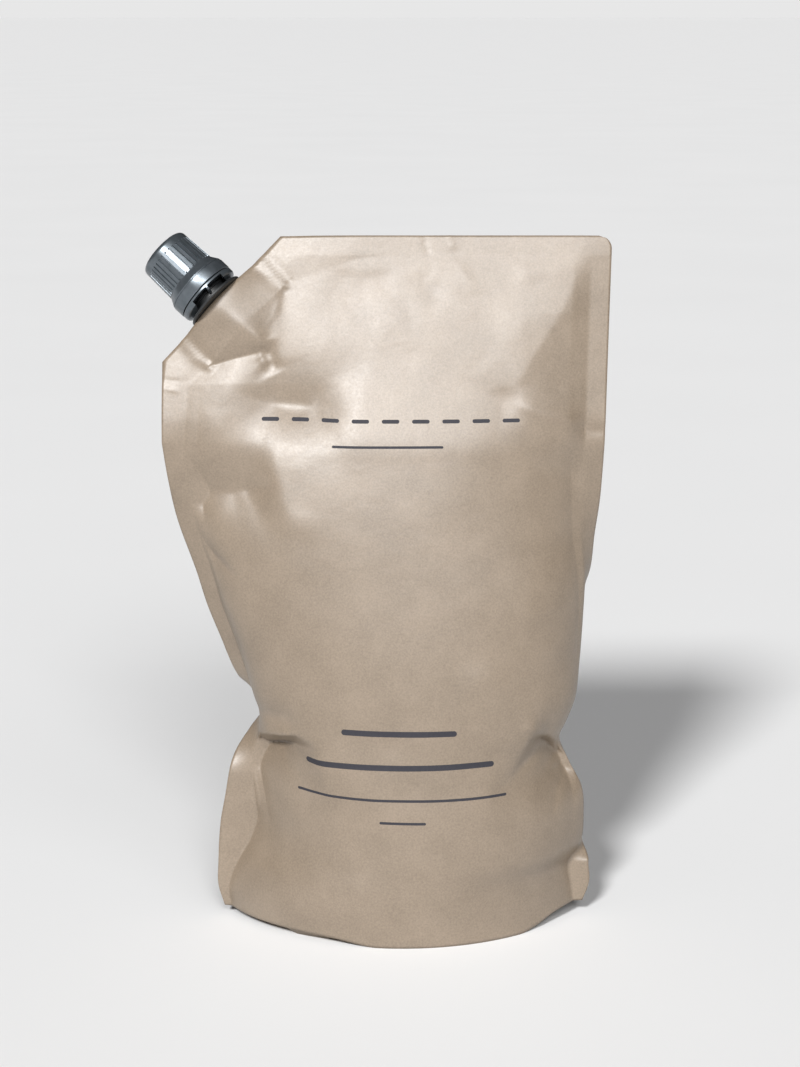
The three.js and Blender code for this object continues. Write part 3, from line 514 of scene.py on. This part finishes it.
def side_grid(level, side):
    """One side of the pack: x, y, z grids over rows and columns. side is -1 in front, +1 behind."""
    level = level[:, None]
    x, y, folds_show = smooth_side(level, side)
    z = np.broadcast_to(level, x.shape).copy()
    folds = FRONT_FOLDS if side < 0 else BACK_FOLDS
    sunk = fold_depth(folds, x, z) * folds_show
    boat = boat_bulge(x, z)
    proud = boat - np.abs(y - seam_y(level)) + sunk
    rounding = VALLEY_ROUNDING * smoothstep(boat, 0, VALLEY_FULL_AT)
    bulge = (proud + np.hypot(proud, rounding)) / 2
    y = y + side * (SEAL_THICKNESS / 2 + bulge - sunk)
    y = y + fold_depth(SEAL_FOLDS, x, z) + right_facet(x, z)
    y = y + TOP_CURL * np.maximum(level - (PACK_HEIGHT - TOP_SEAL), 0)
    z = z + np.maximum(corner_lift(x), 0) * np.maximum(1 - level / LIFT_FADES_AT, 0)
    return np.stack(lean_back(*lean_corner(x, y, z)), axis=-1)


# Bottom gusset. The skirt's wall and the step above it thin to these shares of the pack's depth towards
# its sides. The fold opens over OPENS_OVER millimetres of depth, and rises beside the flat patch.
WALL_SHARE = 0.2
STEP_DEPTH = 0.4
STEP_SHARE = 0.06
OPENS_FROM, OPENS_OVER = 2, 12
RISES_BESIDE_PAD = 22
GUSSET_EDGE = 0.06


def gusset_grid(front, back):
    """Points under each column pair, from the front rim through the bottom fold to the back rim."""
    open_ = back[:, 1] - front[:, 1]
    wall = np.minimum(SKIRT_THICKNESS, open_ * WALL_SHARE)
    inner = wall + np.minimum(STEP_DEPTH, open_ * STEP_SHARE)
    openness = np.clip((open_ - OPENS_FROM) / OPENS_OVER, 0, 1)
    beyond_pad = np.clip((np.abs(front[:, 0]) - PAD_HALF_LENGTH) / RISES_BESIDE_PAD, 0, 1)
    end = beyond_pad * openness
    rim = (front[:, 2] + back[:, 2]) / 2
    top = rim + SKIRT_HEIGHT * openness

    def at(share, z):
        across = front[:, 0] + (back[:, 0] - front[:, 0]) * (share / open_)
        return np.stack([across, front[:, 1] + share, z], axis=-1)

    line = [front, at(wall, front[:, 2]), at(inner, top)]
    for share in np.linspace(GUSSET_EDGE, 1 - GUSSET_EDGE, GUSSET_LINES):
        arch = np.sin(share * np.pi)
        raised = rim * (1 - openness) + (GUSSET_RISE * arch + SKIRT_HEIGHT) * end
        line.append(at(inner + share * (open_ - 2 * inner), raised))
    line += [at(open_ - inner, top), at(open_ - wall, back[:, 2]), back]
    return np.stack(line)


# Making meshes
def mesh_object(name, points, faces, sharp_angle=None):
    mesh = bpy.data.meshes.new(name)
    mesh.from_pydata([tuple(p) for p in points], [], faces)
    mesh.validate()
    mesh.update()
    mesh.shade_smooth()
    if sharp_angle:
        mesh.set_sharp_from_angle(angle=math.radians(sharp_angle))
    obj = bpy.data.objects.new(name, mesh)
    bpy.context.scene.collection.objects.link(obj)
    return obj


def grid_faces(index, flip=False):
    """Quads between the neighbours in a grid of vertex numbers."""
    a, b = index[:-1, :-1].ravel(), index[:-1, 1:].ravel()
    c, d = index[1:, 1:].ravel(), index[1:, :-1].ravel()
    order = (a, d, c, b) if flip else (a, b, c, d)
    return np.stack(order, axis=-1).tolist()


# Pouch
def build_pouch():
    """Both sides and the gusset as one closed skin, with strips along the three sealed edges."""
    level = spaced(ROWS, 0, PACK_HEIGHT, *FINE_ROWS)
    front = side_grid(level, -1)
    back = side_grid(level, 1)
    columns = front.shape[1]
    count = ROWS * columns
    front_index = np.arange(count).reshape(ROWS, columns)
    back_index = front_index + count
    gusset = gusset_grid(front[0], back[0])
    inner = gusset[1:-1]
    gusset_index = np.empty((len(gusset), columns), int)
    gusset_index[0] = front_index[0]
    gusset_index[-1] = back_index[0]
    gusset_index[1:-1] = 2 * count + np.arange(inner.shape[0] * columns).reshape(-1, columns)
    points = np.vstack([front.reshape(-1, 3), back.reshape(-1, 3), inner.reshape(-1, 3)]) * MM
    faces = grid_faces(front_index) + grid_faces(back_index, flip=True)
    faces += grid_faces(gusset_index, flip=True)
    left_strip = np.stack([back_index[:, 0], front_index[:, 0]], axis=-1)
    right_strip = np.stack([front_index[:, -1], back_index[:, -1]], axis=-1)
    top_strip = np.stack([front_index[-1], back_index[-1]])
    faces += grid_faces(left_strip) + grid_faces(right_strip) + grid_faces(top_strip)
    for column, flip in ((0, True), (-1, False)):
        rim = gusset_index[:, column].tolist()
        faces.append(rim[::-1] if flip else rim)
    return mesh_object("pouch_film", points, faces)


# Spout, ring and cap
def on_spout(points):
    """Moves points from the spout's own axes to its place on the cut edge, in metres."""
    x, y, z = np.asarray(points, float).T
    corner = math.radians(CORNER_LEAN)
    z = z + CORNER_LEAN_DEPTH
    y, z = y * math.cos(corner) + z * math.sin(corner), z * math.cos(corner) - y * math.sin(corner)
    z = z - CORNER_LEAN_DEPTH
    cos, sin = math.cos(SPOUT_TILT), math.sin(SPOUT_TILT)
    x, z = x * cos - z * sin + cut_mx, x * sin + z * cos + cut_mz
    lean = math.radians(LEAN)
    radius = LEAN_BEND / lean
    beyond = z - LEAN_FROM_Z - LEAN_BEND
    placed_y = radius * (1 - math.cos(lean)) + beyond * math.sin(lean) + y * math.cos(lean)
    placed_z = LEAN_FROM_Z + radius * math.sin(lean) + beyond * math.cos(lean) - y * math.sin(lean)
    return np.stack([x, placed_y, placed_z], axis=-1) * MM


def place_on_spout(obj):
    """Moves an object that was built upright round the origin to its place on the cut edge."""
    points = np.empty(len(obj.data.vertices) * 3)
    obj.data.vertices.foreach_get("co", points)
    placed = on_spout(points.reshape(-1, 3) / MM)
    obj.data.vertices.foreach_set("co", placed.ravel())
    obj.data.update()


def rounded_profile(corners):
    """Profile through (radius, height, rounding) corners, each rounded by an arc of its own radius."""
    line = []
    for i, (radius, height, rounding) in enumerate(corners):
        here = np.array([radius, height], float)
        if not rounding:
            line.append(tuple(here))
            continue
        before = np.array(corners[i - 1][:2], float) - here
        after = np.array(corners[(i + 1) % len(corners)][:2], float) - here
        u, v = before / np.hypot(*before), after / np.hypot(*after)
        half_angle = math.acos(np.clip(u @ v, -1, 1)) / 2
        reach = rounding / math.tan(half_angle)
        hub = here + (u + v) / np.hypot(*(u + v)) * rounding / math.sin(half_angle)
        start, end = here + u * reach - hub, here + v * reach - hub
        turn = math.atan2(start[0] * end[1] - start[1] * end[0], start @ end)
        for k in range(ARC_STEPS + 1):
            angle = turn * k / ARC_STEPS
            cos, sin = math.cos(angle), math.sin(angle)
            across = hub[0] + start[0] * cos - start[1] * sin
            up = hub[1] + start[0] * sin + start[1] * cos
            line.append((across, up))
    return line


def turned(profile, angles, shape=None):
    """Turns a closed (radius, height) profile about +Z; points at radius 0 become one hub each.

    shape(radius, height, angle) may give the radius at an angle, for ribs and grooves.
    """
    points, index = [], []
    for radius, height in profile:
        if radius <= 1e-6:
            index.append(np.full(len(angles), len(points)))
            points.append((0, 0, height))
            continue
        r = shape(radius, height, angles) if shape else np.full(len(angles), radius)
        index.append(len(points) + np.arange(len(angles)))
        points += [(a * math.cos(t), a * math.sin(t), height) for a, t in zip(r, angles)]
    faces = []
    closed = profile[0][0] > 1e-6
    rings = index + index[:1] if closed else index
    for low, high in zip(rings[:-1], rings[1:]):
        for c in range(len(angles)):
            d = (c + 1) % len(angles)
            quad = [low[c], low[d], high[d], high[c]]
            face = [int(v) for k, v in enumerate(quad) if v != quad[k - 1]]
            if len(face) > 2:
                faces.append(face)
    return points, faces


def apply_modifier(obj):
    """Replaces an object's mesh by its evaluated form and drops its modifiers."""
    graph = bpy.context.evaluated_depsgraph_get()
    mesh = bpy.data.meshes.new_from_object(obj.evaluated_get(graph))
    obj.modifiers.clear()
    obj.data = mesh


def combine(obj, others, operation):
    """Joins or cuts an object by others, which are then removed."""
    for other in others:
        modifier = obj.modifiers.new("combine", "BOOLEAN")
        modifier.operation = operation
        modifier.solver = "EXACT"
        modifier.object = other
    apply_modifier(obj)
    for other in others:
        bpy.data.objects.remove(other)


def soften(obj, width, sharp_angle=30):
    """Small rounding on every sharp edge of a moulded piece."""
    modifier = obj.modifiers.new("soften", "BEVEL")
    modifier.width = width * MM
    modifier.segments = 2
    modifier.limit_method = "ANGLE"
    modifier.angle_limit = math.radians(sharp_angle)
    modifier.harden_normals = True
    apply_modifier(obj)


EVEN_ANGLES = np.linspace(0, 2 * np.pi, ROUND_STEPS, endpoint=False)


def cap_profile():
    """The cap's closed outline: up the bore, down to the foot, up over collar, flare and grip."""
    bore_top = CAP_TOP - CAP_TOP_WALL
    inside = [
        (0, bore_top, 0), (CAP_BORE_RADIUS, bore_top, 0.6), (CAP_BORE_RADIUS, BEAD_TOP + 2, 0.2),
        (COLLAR_BORE_RADIUS, BEAD_TOP + CLEARANCE, 0.2), (COLLAR_BORE_RADIUS, CAP_FOOT, 0.2)]
    step_radius = CAP_COLLAR_RADIUS - COLLAR_STEP
    collar = [
        (CAP_COLLAR_RADIUS - 0.05, CAP_FOOT, 0.35), (CAP_COLLAR_RADIUS, COLLAR_TOP - 0.35, 0.12),
        (step_radius, COLLAR_TOP - 0.3, 0.06), (step_radius, COLLAR_TOP, 0.06)]
    flare = [
        (CAP_COLLAR_RADIUS - 0.1, COLLAR_TOP + 0.05, 0.3),
        (CAP_COLLAR_RADIUS - 0.25, COLLAR_TOP + 0.6, 0.8), (CAP_GRIP_RADIUS + 0.02, FLARE_TOP, 1.6)]
    grip_heights = np.concatenate([
        np.linspace(FLARE_TOP + 0.9, FLARE_TOP + 2.0, 5),
        np.linspace(FLARE_TOP + 2.6, GRIP_TOP - 1.3, 5),
        np.linspace(GRIP_TOP - 1.0, GRIP_TOP, 6)])
    grip_radii = np.interp(grip_heights, [FLARE_TOP, GRIP_TOP], [CAP_GRIP_RADIUS, CAP_TOP_RADIUS])
    grip = [(radius, height, 0) for radius, height in zip(grip_radii, grip_heights)]
    top = [(CAP_TOP_RADIUS - 0.1, CAP_TOP, CAP_TOP_ROUND), (0, CAP_TOP, 0)]
    return rounded_profile(inside + collar + flare + grip + top)


def build_cap():
    """Screw cap with flat-faced ribs and a groove between each two."""
    pitch = 2 * math.pi / GRIP_RIBS
    half_groove = GROOVE_SHARE / 2
    half_floor = half_groove * GROOVE_FLOOR
    rib_from, rib_to = half_groove + RIB_CORNER, 1 - half_groove - RIB_CORNER
    shares = [-half_groove, -half_floor, half_floor, half_groove, rib_from, *RIB_POINTS, rib_to]
    angles = np.array([(rib + share) * pitch for rib in range(GRIP_RIBS) for share in shares])

    def grip(radius, height, angle):
        share = (angle / pitch + 0.5) % 1 - 0.5
        groove = GROOVE_DEPTH * (np.abs(share) < (half_floor + half_groove) / 2)
        from_middle = 0.5 - np.abs(share)
        flat = radius * (1 / np.cos(from_middle * pitch) - 1)
        starts = smoothstep(height, FLARE_TOP + 0.2, FLARE_TOP + 0.8)
        ends = 1 - smoothstep(height, GRIP_TOP - 0.5, GRIP_TOP)
        outside = radius > CAP_TOP_RADIUS - 0.5
        return radius + (flat - groove) * (starts * ends) * outside

    points, faces = turned(cap_profile(), angles, grip)
    return mesh_object("cap_shell", on_spout(points), faces, SHARP_EDGE)


def window_cutters(lip_bore):
    """Boxes that cut a pair of windows in front and a pair behind, each with a post in its middle."""
    cutters = []
    offset = (WINDOW_WIDTH + WINDOW_POST) / 2
    low, high = RING_FOOT - 1.0, RING_FOOT + WINDOW_HEIGHT
    near = math.sqrt(lip_bore ** 2 - (WINDOW_WIDTH + WINDOW_POST / 2) ** 2) - CLEARANCE
    far = near + RING_RADIUS
    for faces_way in (0, 180):
        turn = math.radians(WINDOW_PAIR_TURN + faces_way)
        cos, sin = math.cos(turn), math.sin(turn)
        for sideways in (-offset, offset):
            box = [(sideways + sx * WINDOW_WIDTH / 2, -y, z)
                   for z in (low, high) for y in (near, far) for sx in (-1, 1)]
            box = [((x * cos - y * sin) * MM, (x * sin + y * cos) * MM, z * MM) for x, y, z in box]
            sides = [(0, 1, 3, 2), (4, 6, 7, 5), (0, 4, 5, 1), (2, 3, 7, 6), (0, 2, 6, 4), (1, 5, 7, 3)]
            cutters.append(mesh_object("window", box, sides))
    return cutters


def build_ring():
    """Tamper ring with a lip under the neck's bead and windows through its foot."""
    lip_bore = NECK_RADIUS + CLEARANCE
    lip_top = RING_FOOT + RING_LIP
    profile = rounded_profile([
        (lip_bore, RING_FOOT, 0.15), (RING_FOOT_RADIUS, RING_FOOT, 0.5),
        (RING_RADIUS - 0.35, RING_FOOT + 1.1, 0.9), (RING_RADIUS, RING_FOOT + 2, 0.5),
        (RING_RADIUS, RING_TOP, 0.25), (COLLAR_BORE_RADIUS, RING_TOP, 0.1),
        (COLLAR_BORE_RADIUS, lip_top, 0.2), (lip_bore, lip_top, 0.15)])
    points, faces = turned(profile, EVEN_ANGLES)
    ring = mesh_object("tamper_band", np.array(points) * MM, faces)
    combine(ring, window_cutters(lip_bore), "DIFFERENCE")
    soften(ring, EDGE_ROUNDING)
    place_on_spout(ring)
    return ring


def lens_outline(grow):
    """The weld boat's lens outline, from one tip round to the other and back."""
    half_length = BOAT_HALF_LENGTH + grow
    share = np.linspace(-1, 1, LENS_STEPS + 1)
    half = (BOAT_HALF_THICKNESS + grow) * np.cos(share * np.pi / 2) ** LENS_POWER
    lower = np.stack([share * half_length, -half], axis=-1)[:-1]
    upper = np.stack([-share * half_length, half], axis=-1)[:-1]
    return np.vstack([lower, upper])


def build_boat():
    """The ribbed lens-shaped boat that the film is welded to, with the bore through it."""
    rings = []
    levels = [(-BOAT_DEPTH, -WELD_RIB)]
    for rib in reversed(range(WELD_RIBS)):
        foot = -BOAT_DEPTH * (rib + 0.7) / WELD_RIBS
        levels += [(foot - 0.55, -WELD_RIB), (foot - 0.3, 0), (foot + 0.3, 0), (foot + 0.55, -WELD_RIB)]
    levels.append((BOAT_TOP, -WELD_RIB))
    for height, grow in levels:
        rings.append([(x, y, height) for x, y in lens_outline(grow)])
    count = len(rings[0])
    around = -math.pi + np.arange(count) * 2 * math.pi / count
    for height in (BOAT_TOP, -BOAT_DEPTH):
        rings.append([(BOAT_BORE_RADIUS * math.cos(t), BOAT_BORE_RADIUS * math.sin(t), height)
                      for t in around])
    points = np.array(rings).reshape(-1, 3) * MM
    index = np.arange(len(points)).reshape(len(rings), count)
    index = np.vstack([index, index[:1]])
    index = np.hstack([index, index[:, :1]])
    return mesh_object("boat", points, grid_faces(index), SHARP_EDGE)


def build_spout():
    """Flange and neck, turned in one profile with the bore, and the weld boat below."""
    stem = BOAT_BORE_RADIUS + STEM_WALL
    profile = rounded_profile([
        (BOAT_BORE_RADIUS, BOAT_TOP - 1, 0), (stem, BOAT_TOP - 1, 0), (stem, CLEARANCE, 0.1),
        (FLANGE_RADIUS - 0.3, CLEARANCE, 0.25),
        (FLANGE_RADIUS, FLANGE_TOP, 0.4), (NECK_RADIUS, FLANGE_TOP, 0.3), (NECK_RADIUS, BEAD_FOOT, 0.1),
        (BEAD_RADIUS, BEAD_FOOT, 0.15), (NECK_RADIUS, BEAD_TOP, 0.2), (NECK_RADIUS, MOUTH, 0.5),
        (NECK_BORE_RADIUS, MOUTH, 0.3), (NECK_BORE_RADIUS, FLANGE_TOP, 0.5),
        (BOAT_BORE_RADIUS, FLANGE_TOP - 0.4, 0.3)])
    points, faces = turned(profile, EVEN_ANGLES)
    spout = mesh_object("spout_body", np.array(points) * MM, faces)
    combine(spout, [build_boat()], "UNION")
    spout.data.set_sharp_from_angle(angle=math.radians(SHARP_EDGE))
    place_on_spout(spout)
    return spout


# Materials
def new_material(name):
    material = bpy.data.materials.new(name)
    material.use_nodes = True
    nodes = material.node_tree.nodes
    nodes.clear()
    output = nodes.new("ShaderNodeOutputMaterial")
    shader = nodes.new("ShaderNodeBsdfPrincipled")
    material.node_tree.links.new(shader.outputs["BSDF"], output.inputs["Surface"])
    return material, shader


class Nodes:
    """Short forms for the node trees below."""

    def __init__(self, material):
        self.tree = material.node_tree
        self.place = self.tree.nodes.new("ShaderNodeTexCoord").outputs["Object"]

    def link(self, source, target):
        self.tree.links.new(source, target)

    def put(self, value, target):
        if isinstance(value, bpy.types.NodeSocket):
            self.link(value, target)
        else:
            target.default_value = value

    def math(self, operation, *values):
        node = self.tree.nodes.new("ShaderNodeMath")
        node.operation = operation
        for value, target in zip(values, node.inputs):
            self.put(value, target)
        return node.outputs["Value"]

    def noise(self, scale, detail):
        node = self.tree.nodes.new("ShaderNodeTexNoise")
        node.inputs["Scale"].default_value = scale
        node.inputs["Detail"].default_value = detail
        self.link(self.place, node.inputs["Vector"])
        return node.outputs["Fac"]

    def ramp(self, value, *stops):
        node = self.tree.nodes.new("ShaderNodeValToRGB")
        elements = node.color_ramp.elements
        while len(elements) < len(stops):
            elements.new(0.5)
        for element, (position, colour) in zip(elements, stops):
            element.position = position
            element.color = (*colour, 1)
        self.link(value, node.inputs["Fac"])
        return node.outputs["Color"]

    def mix(self, share, first, second):
        node = self.tree.nodes.new("ShaderNodeMix")
        node.data_type = "RGBA"
        self.put(share, node.inputs["Factor"])
        self.put(first, node.inputs["A"])
        self.put(second, node.inputs["B"])
        return node.outputs["Result"]

    def axes(self):
        node = self.tree.nodes.new("ShaderNodeSeparateXYZ")
        self.link(self.place, node.inputs["Vector"])
        return node.outputs["X"], node.outputs["Y"], node.outputs["Z"]

    def bump(self, height, strength, distance, normal=None):
        node = self.tree.nodes.new("ShaderNodeBump")
        node.inputs["Strength"].default_value = strength
        node.inputs["Distance"].default_value = distance
        self.link(height, node.inputs["Height"])
        if normal:
            self.link(normal, node.inputs["Normal"])
        return node.outputs["Normal"]


# Plain printed marks on the front, in millimetres: centre x and z, width, height, and dashes in the row
PRINT_MARKS = [
    (-5.8, 215.3, 110, 1.5, 9),
    (-7.0, 205.4, 45, 1.0, 1),
    (-2.4, 91.1, 47, 2.4, 1),
    (-2.1, 77.1, 77, 2.4, 1),
    (-1.3, 63.5, 86, 1.1, 1),
    (-0.9, 54.1, 19, 1.1, 1),
]
DASH_GAP = 0.42
PRINT_INK = (0.006, 0.005, 0.013, 1)
INK_MATT = 0.35


def print_mask(nodes):
    """1 inside the printed marks, which lie on the front panel only."""
    x, y, z = nodes.axes()
    covered = 0.0
    for centre_x, centre_z, width, height, dashes in PRINT_MARKS:
        across = nodes.math("SUBTRACT", x, centre_x * MM)
        pitch = width / dashes
        length = width if dashes == 1 else pitch * (1 - DASH_GAP)
        if dashes > 1:
            inside_row = nodes.math("LESS_THAN", nodes.math("ABSOLUTE", across), width / 2 * MM)
            shifted = nodes.math("ADD", across, width / 2 * MM)
            step = nodes.math("MODULO", shifted, pitch * MM)
            across = nodes.math("SUBTRACT", step, pitch / 2 * MM)
        beside = nodes.math("SUBTRACT", nodes.math("ABSOLUTE", across), (length - height) / 2 * MM)
        beside = nodes.math("MAXIMUM", beside, 0.0)
        above = nodes.math("SUBTRACT", z, centre_z * MM)
        beside_squared = nodes.math("POWER", beside, 2.0)
        above_squared = nodes.math("POWER", nodes.math("ABSOLUTE", above), 2.0)
        far = nodes.math("SQRT", nodes.math("ADD", beside_squared, above_squared))
        mark = nodes.math("LESS_THAN", far, height / 2 * MM)
        if dashes > 1:
            mark = nodes.math("MULTIPLY", mark, inside_row)
        covered = nodes.math("MAXIMUM", mark, covered)
    return nodes.math("MULTIPLY", covered, nodes.math("LESS_THAN", y, 0.0))


# Kraft film: its darkest and lightest colour, its sheen, and how fine each grain is and how much of the
# look it makes
KRAFT_DARK = (0.172, 0.131, 0.091)
KRAFT_LIGHT = (0.27, 0.21, 0.153)
KRAFT_ROUGHNESS = 0.4
KRAFT_ROUGHNESS_SPREAD = 0.12
KRAFT_SPECULAR = 0.75
KRAFT_IOR = 1.6
FIBRE_SCALE, FIBRE_SHARE = 1300, 0.5
SPECK_SCALE, SPECK_SHARE = 5200, 0.2
CLOUD_SCALE, CLOUD_SHARE = 70, 0.3
CRINKLE_SCALE = 160
SHEEN_SCALE = 900


def kraft_material():
    """Fibrous paper look under a softly shining film, with the printed marks on it."""
    material, shader = new_material("kraft_film")
    nodes = Nodes(material)
    fibre = nodes.noise(FIBRE_SCALE, 6)
    speck = nodes.noise(SPECK_SCALE, 2)
    cloud = nodes.noise(CLOUD_SCALE, 4)
    fibres = nodes.math("MULTIPLY", fibre, FIBRE_SHARE)
    blend = nodes.math("ADD", fibres, nodes.math("MULTIPLY", speck, SPECK_SHARE))
    blend = nodes.math("ADD", blend, nodes.math("MULTIPLY", cloud, CLOUD_SHARE))
    paper = nodes.ramp(blend, (0.34, KRAFT_DARK), (0.66, KRAFT_LIGHT))
    printed = print_mask(nodes)
    nodes.link(nodes.mix(printed, paper, PRINT_INK), shader.inputs["Base Color"])
    crinkle = nodes.noise(CRINKLE_SCALE, 5)
    normal = nodes.bump(crinkle, strength=0.2, distance=0.6 * MM)
    normal = nodes.bump(fibre, strength=0.06, distance=0.2 * MM, normal=normal)
    nodes.link(normal, shader.inputs["Normal"])
    spread = nodes.math("MULTIPLY", nodes.noise(SHEEN_SCALE, 3), KRAFT_ROUGHNESS_SPREAD)
    sheen = nodes.math("ADD", spread, KRAFT_ROUGHNESS)
    matt = nodes.math("ADD", sheen, nodes.math("MULTIPLY", printed, INK_MATT))
    nodes.link(matt, shader.inputs["Roughness"])
    shader.inputs["Specular IOR Level"].default_value = KRAFT_SPECULAR
    shader.inputs["IOR"].default_value = KRAFT_IOR
    return material


GRAIN_SCALE = 350
PLASTIC_BUMP_SCALE = 2400


def plastic_material(name, dark, light, roughness, metallic):
    """Moulded plastic between two colours, with a fine grain."""
    material, shader = new_material(name)
    nodes = Nodes(material)
    grain = nodes.noise(GRAIN_SCALE, 3)
    nodes.link(nodes.ramp(grain, (0.3, dark), (0.7, light)), shader.inputs["Base Color"])
    texture = nodes.noise(PLASTIC_BUMP_SCALE, 2)
    nodes.link(nodes.bump(texture, strength=0.05, distance=0.1 * MM), shader.inputs["Normal"])
    shader.inputs["Roughness"].default_value = roughness
    shader.inputs["Metallic"].default_value = metallic
    return material


FLOOR_DARK = (0.80, 0.80, 0.80)
FLOOR_LIGHT = (0.82, 0.82, 0.82)


def floor_material():
    material, shader = new_material("pale_floor")
    nodes = Nodes(material)
    shade = nodes.ramp(nodes.noise(3, 2), (0.2, FLOOR_DARK), (0.8, FLOOR_LIGHT))
    nodes.link(shade, shader.inputs["Base Color"])
    shader.inputs["Roughness"].default_value = 0.9
    shader.inputs["Specular IOR Level"].default_value = 0.1
    return material


def assign(obj, material):
    obj.data.materials.clear()
    obj.data.materials.append(material)


# Studio. The floor reaches this many metres each way, so that it ends at the horizon. The world is pale
# up to HORIZON_TO and dim from ZENITH_FROM on, as shares of the way up.
FLOOR_REACH = 400
HORIZON, HORIZON_TO = (0.80, 0.80, 0.80), 0.012
ZENITH, ZENITH_FROM = (0.03, 0.03, 0.032), 0.025


def build_floor():
    corners = [(x * FLOOR_REACH, y * FLOOR_REACH, 0) for x, y in ((-1, -1), (1, -1), (1, 1), (-1, 1))]
    floor = mesh_object("floor", corners, [(0, 1, 2, 3)])
    assign(floor, floor_material())


def sun(name, azimuth, elevation, softness, strength):
    """Soft distant light, angles in degrees. Azimuth is from the front, positive to the right."""
    light = bpy.data.lights.new(name, "SUN")
    light.energy = strength
    light.angle = math.radians(softness)
    obj = bpy.data.objects.new(name, light)
    turn, rise = math.radians(azimuth), math.radians(elevation)
    level = math.cos(rise)
    towards = Vector((math.sin(turn) * level, -math.cos(turn) * level, math.sin(rise)))
    obj.location = towards
    obj.rotation_euler = towards.to_track_quat("Z", "Y").to_euler()
    bpy.context.scene.collection.objects.link(obj)


def build_world():
    """Dim surroundings with a band above the horizon that is as pale as the floor."""
    world = bpy.data.worlds.new("studio")
    world.use_nodes = True
    tree = world.node_tree
    place = tree.nodes.new("ShaderNodeTexCoord")
    split = tree.nodes.new("ShaderNodeSeparateXYZ")
    ramp = tree.nodes.new("ShaderNodeValToRGB")
    tree.links.new(place.outputs["Generated"], split.inputs["Vector"])
    tree.links.new(split.outputs["Z"], ramp.inputs["Fac"])
    elements = ramp.color_ramp.elements
    elements[0].position, elements[0].color = HORIZON_TO, (*HORIZON, 1)
    elements[1].position, elements[1].color = ZENITH_FROM, (*ZENITH, 1)
    tree.links.new(ramp.outputs["Color"], tree.nodes["Background"].inputs["Color"])
    bpy.context.scene.world = world


def build_lights():
    sun("key", azimuth=-20, elevation=37, softness=10.5, strength=3.4)
    sun("front", azimuth=9, elevation=33, softness=18, strength=1.3)
    sun("fill", azimuth=25, elevation=42, softness=40, strength=0.45)
    build_world()


# Camera, solved from the pack's outline in the upright frame: its place in metres, how many degrees it
# looks down, and its focal length and the frame's height in pixels
CAMERA_PLACE = (-0.002, -0.900, 0.375)
CAMERA_DOWN = 13
FOCAL_PIXELS = 2242
FRAME_HEIGHT_PIXELS = 1067
SENSOR_MM = 36


def build_camera():
    data = bpy.data.cameras.new("camera")
    data.sensor_width = SENSOR_MM
    data.lens = SENSOR_MM * FOCAL_PIXELS / FRAME_HEIGHT_PIXELS
    data.clip_start, data.clip_end = 0.05, 1000
    camera = bpy.data.objects.new("camera", data)
    camera.location = CAMERA_PLACE
    camera.rotation_euler = (math.radians(90 - CAMERA_DOWN), 0, 0)
    bpy.context.scene.collection.objects.link(camera)
    bpy.context.scene.camera = camera


def dress(piece, material, node):
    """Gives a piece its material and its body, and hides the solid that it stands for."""
    assign(piece, material)
    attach(piece, "cap" if node == "cap" else "pack")
    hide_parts(node)


pouch_film = build_pouch()
dress(pouch_film, kraft_material(), "pouch")

cap_plastic = plastic_material(
    "cap_plastic", dark=(0.12, 0.14, 0.155), light=(0.16, 0.18, 0.2), roughness=0.32, metallic=0.75)
# The spout's own plastic is dark. It is made darker still as painted shade, so that the neck seen
# through the ring's windows looks black.
spout_plastic = plastic_material(
    "spout_plastic", dark=(0.012, 0.013, 0.014), light=(0.02, 0.021, 0.022), roughness=0.42,
    metallic=0.0)
dress(build_cap(), cap_plastic, "cap")
dress(build_ring(), cap_plastic, "tamper_ring")
spout_body = build_spout()
dress(spout_body, spout_plastic, "spout")

build_floor()
build_lights()
build_camera()
bpy.context.scene.view_settings.view_transform = "Standard"
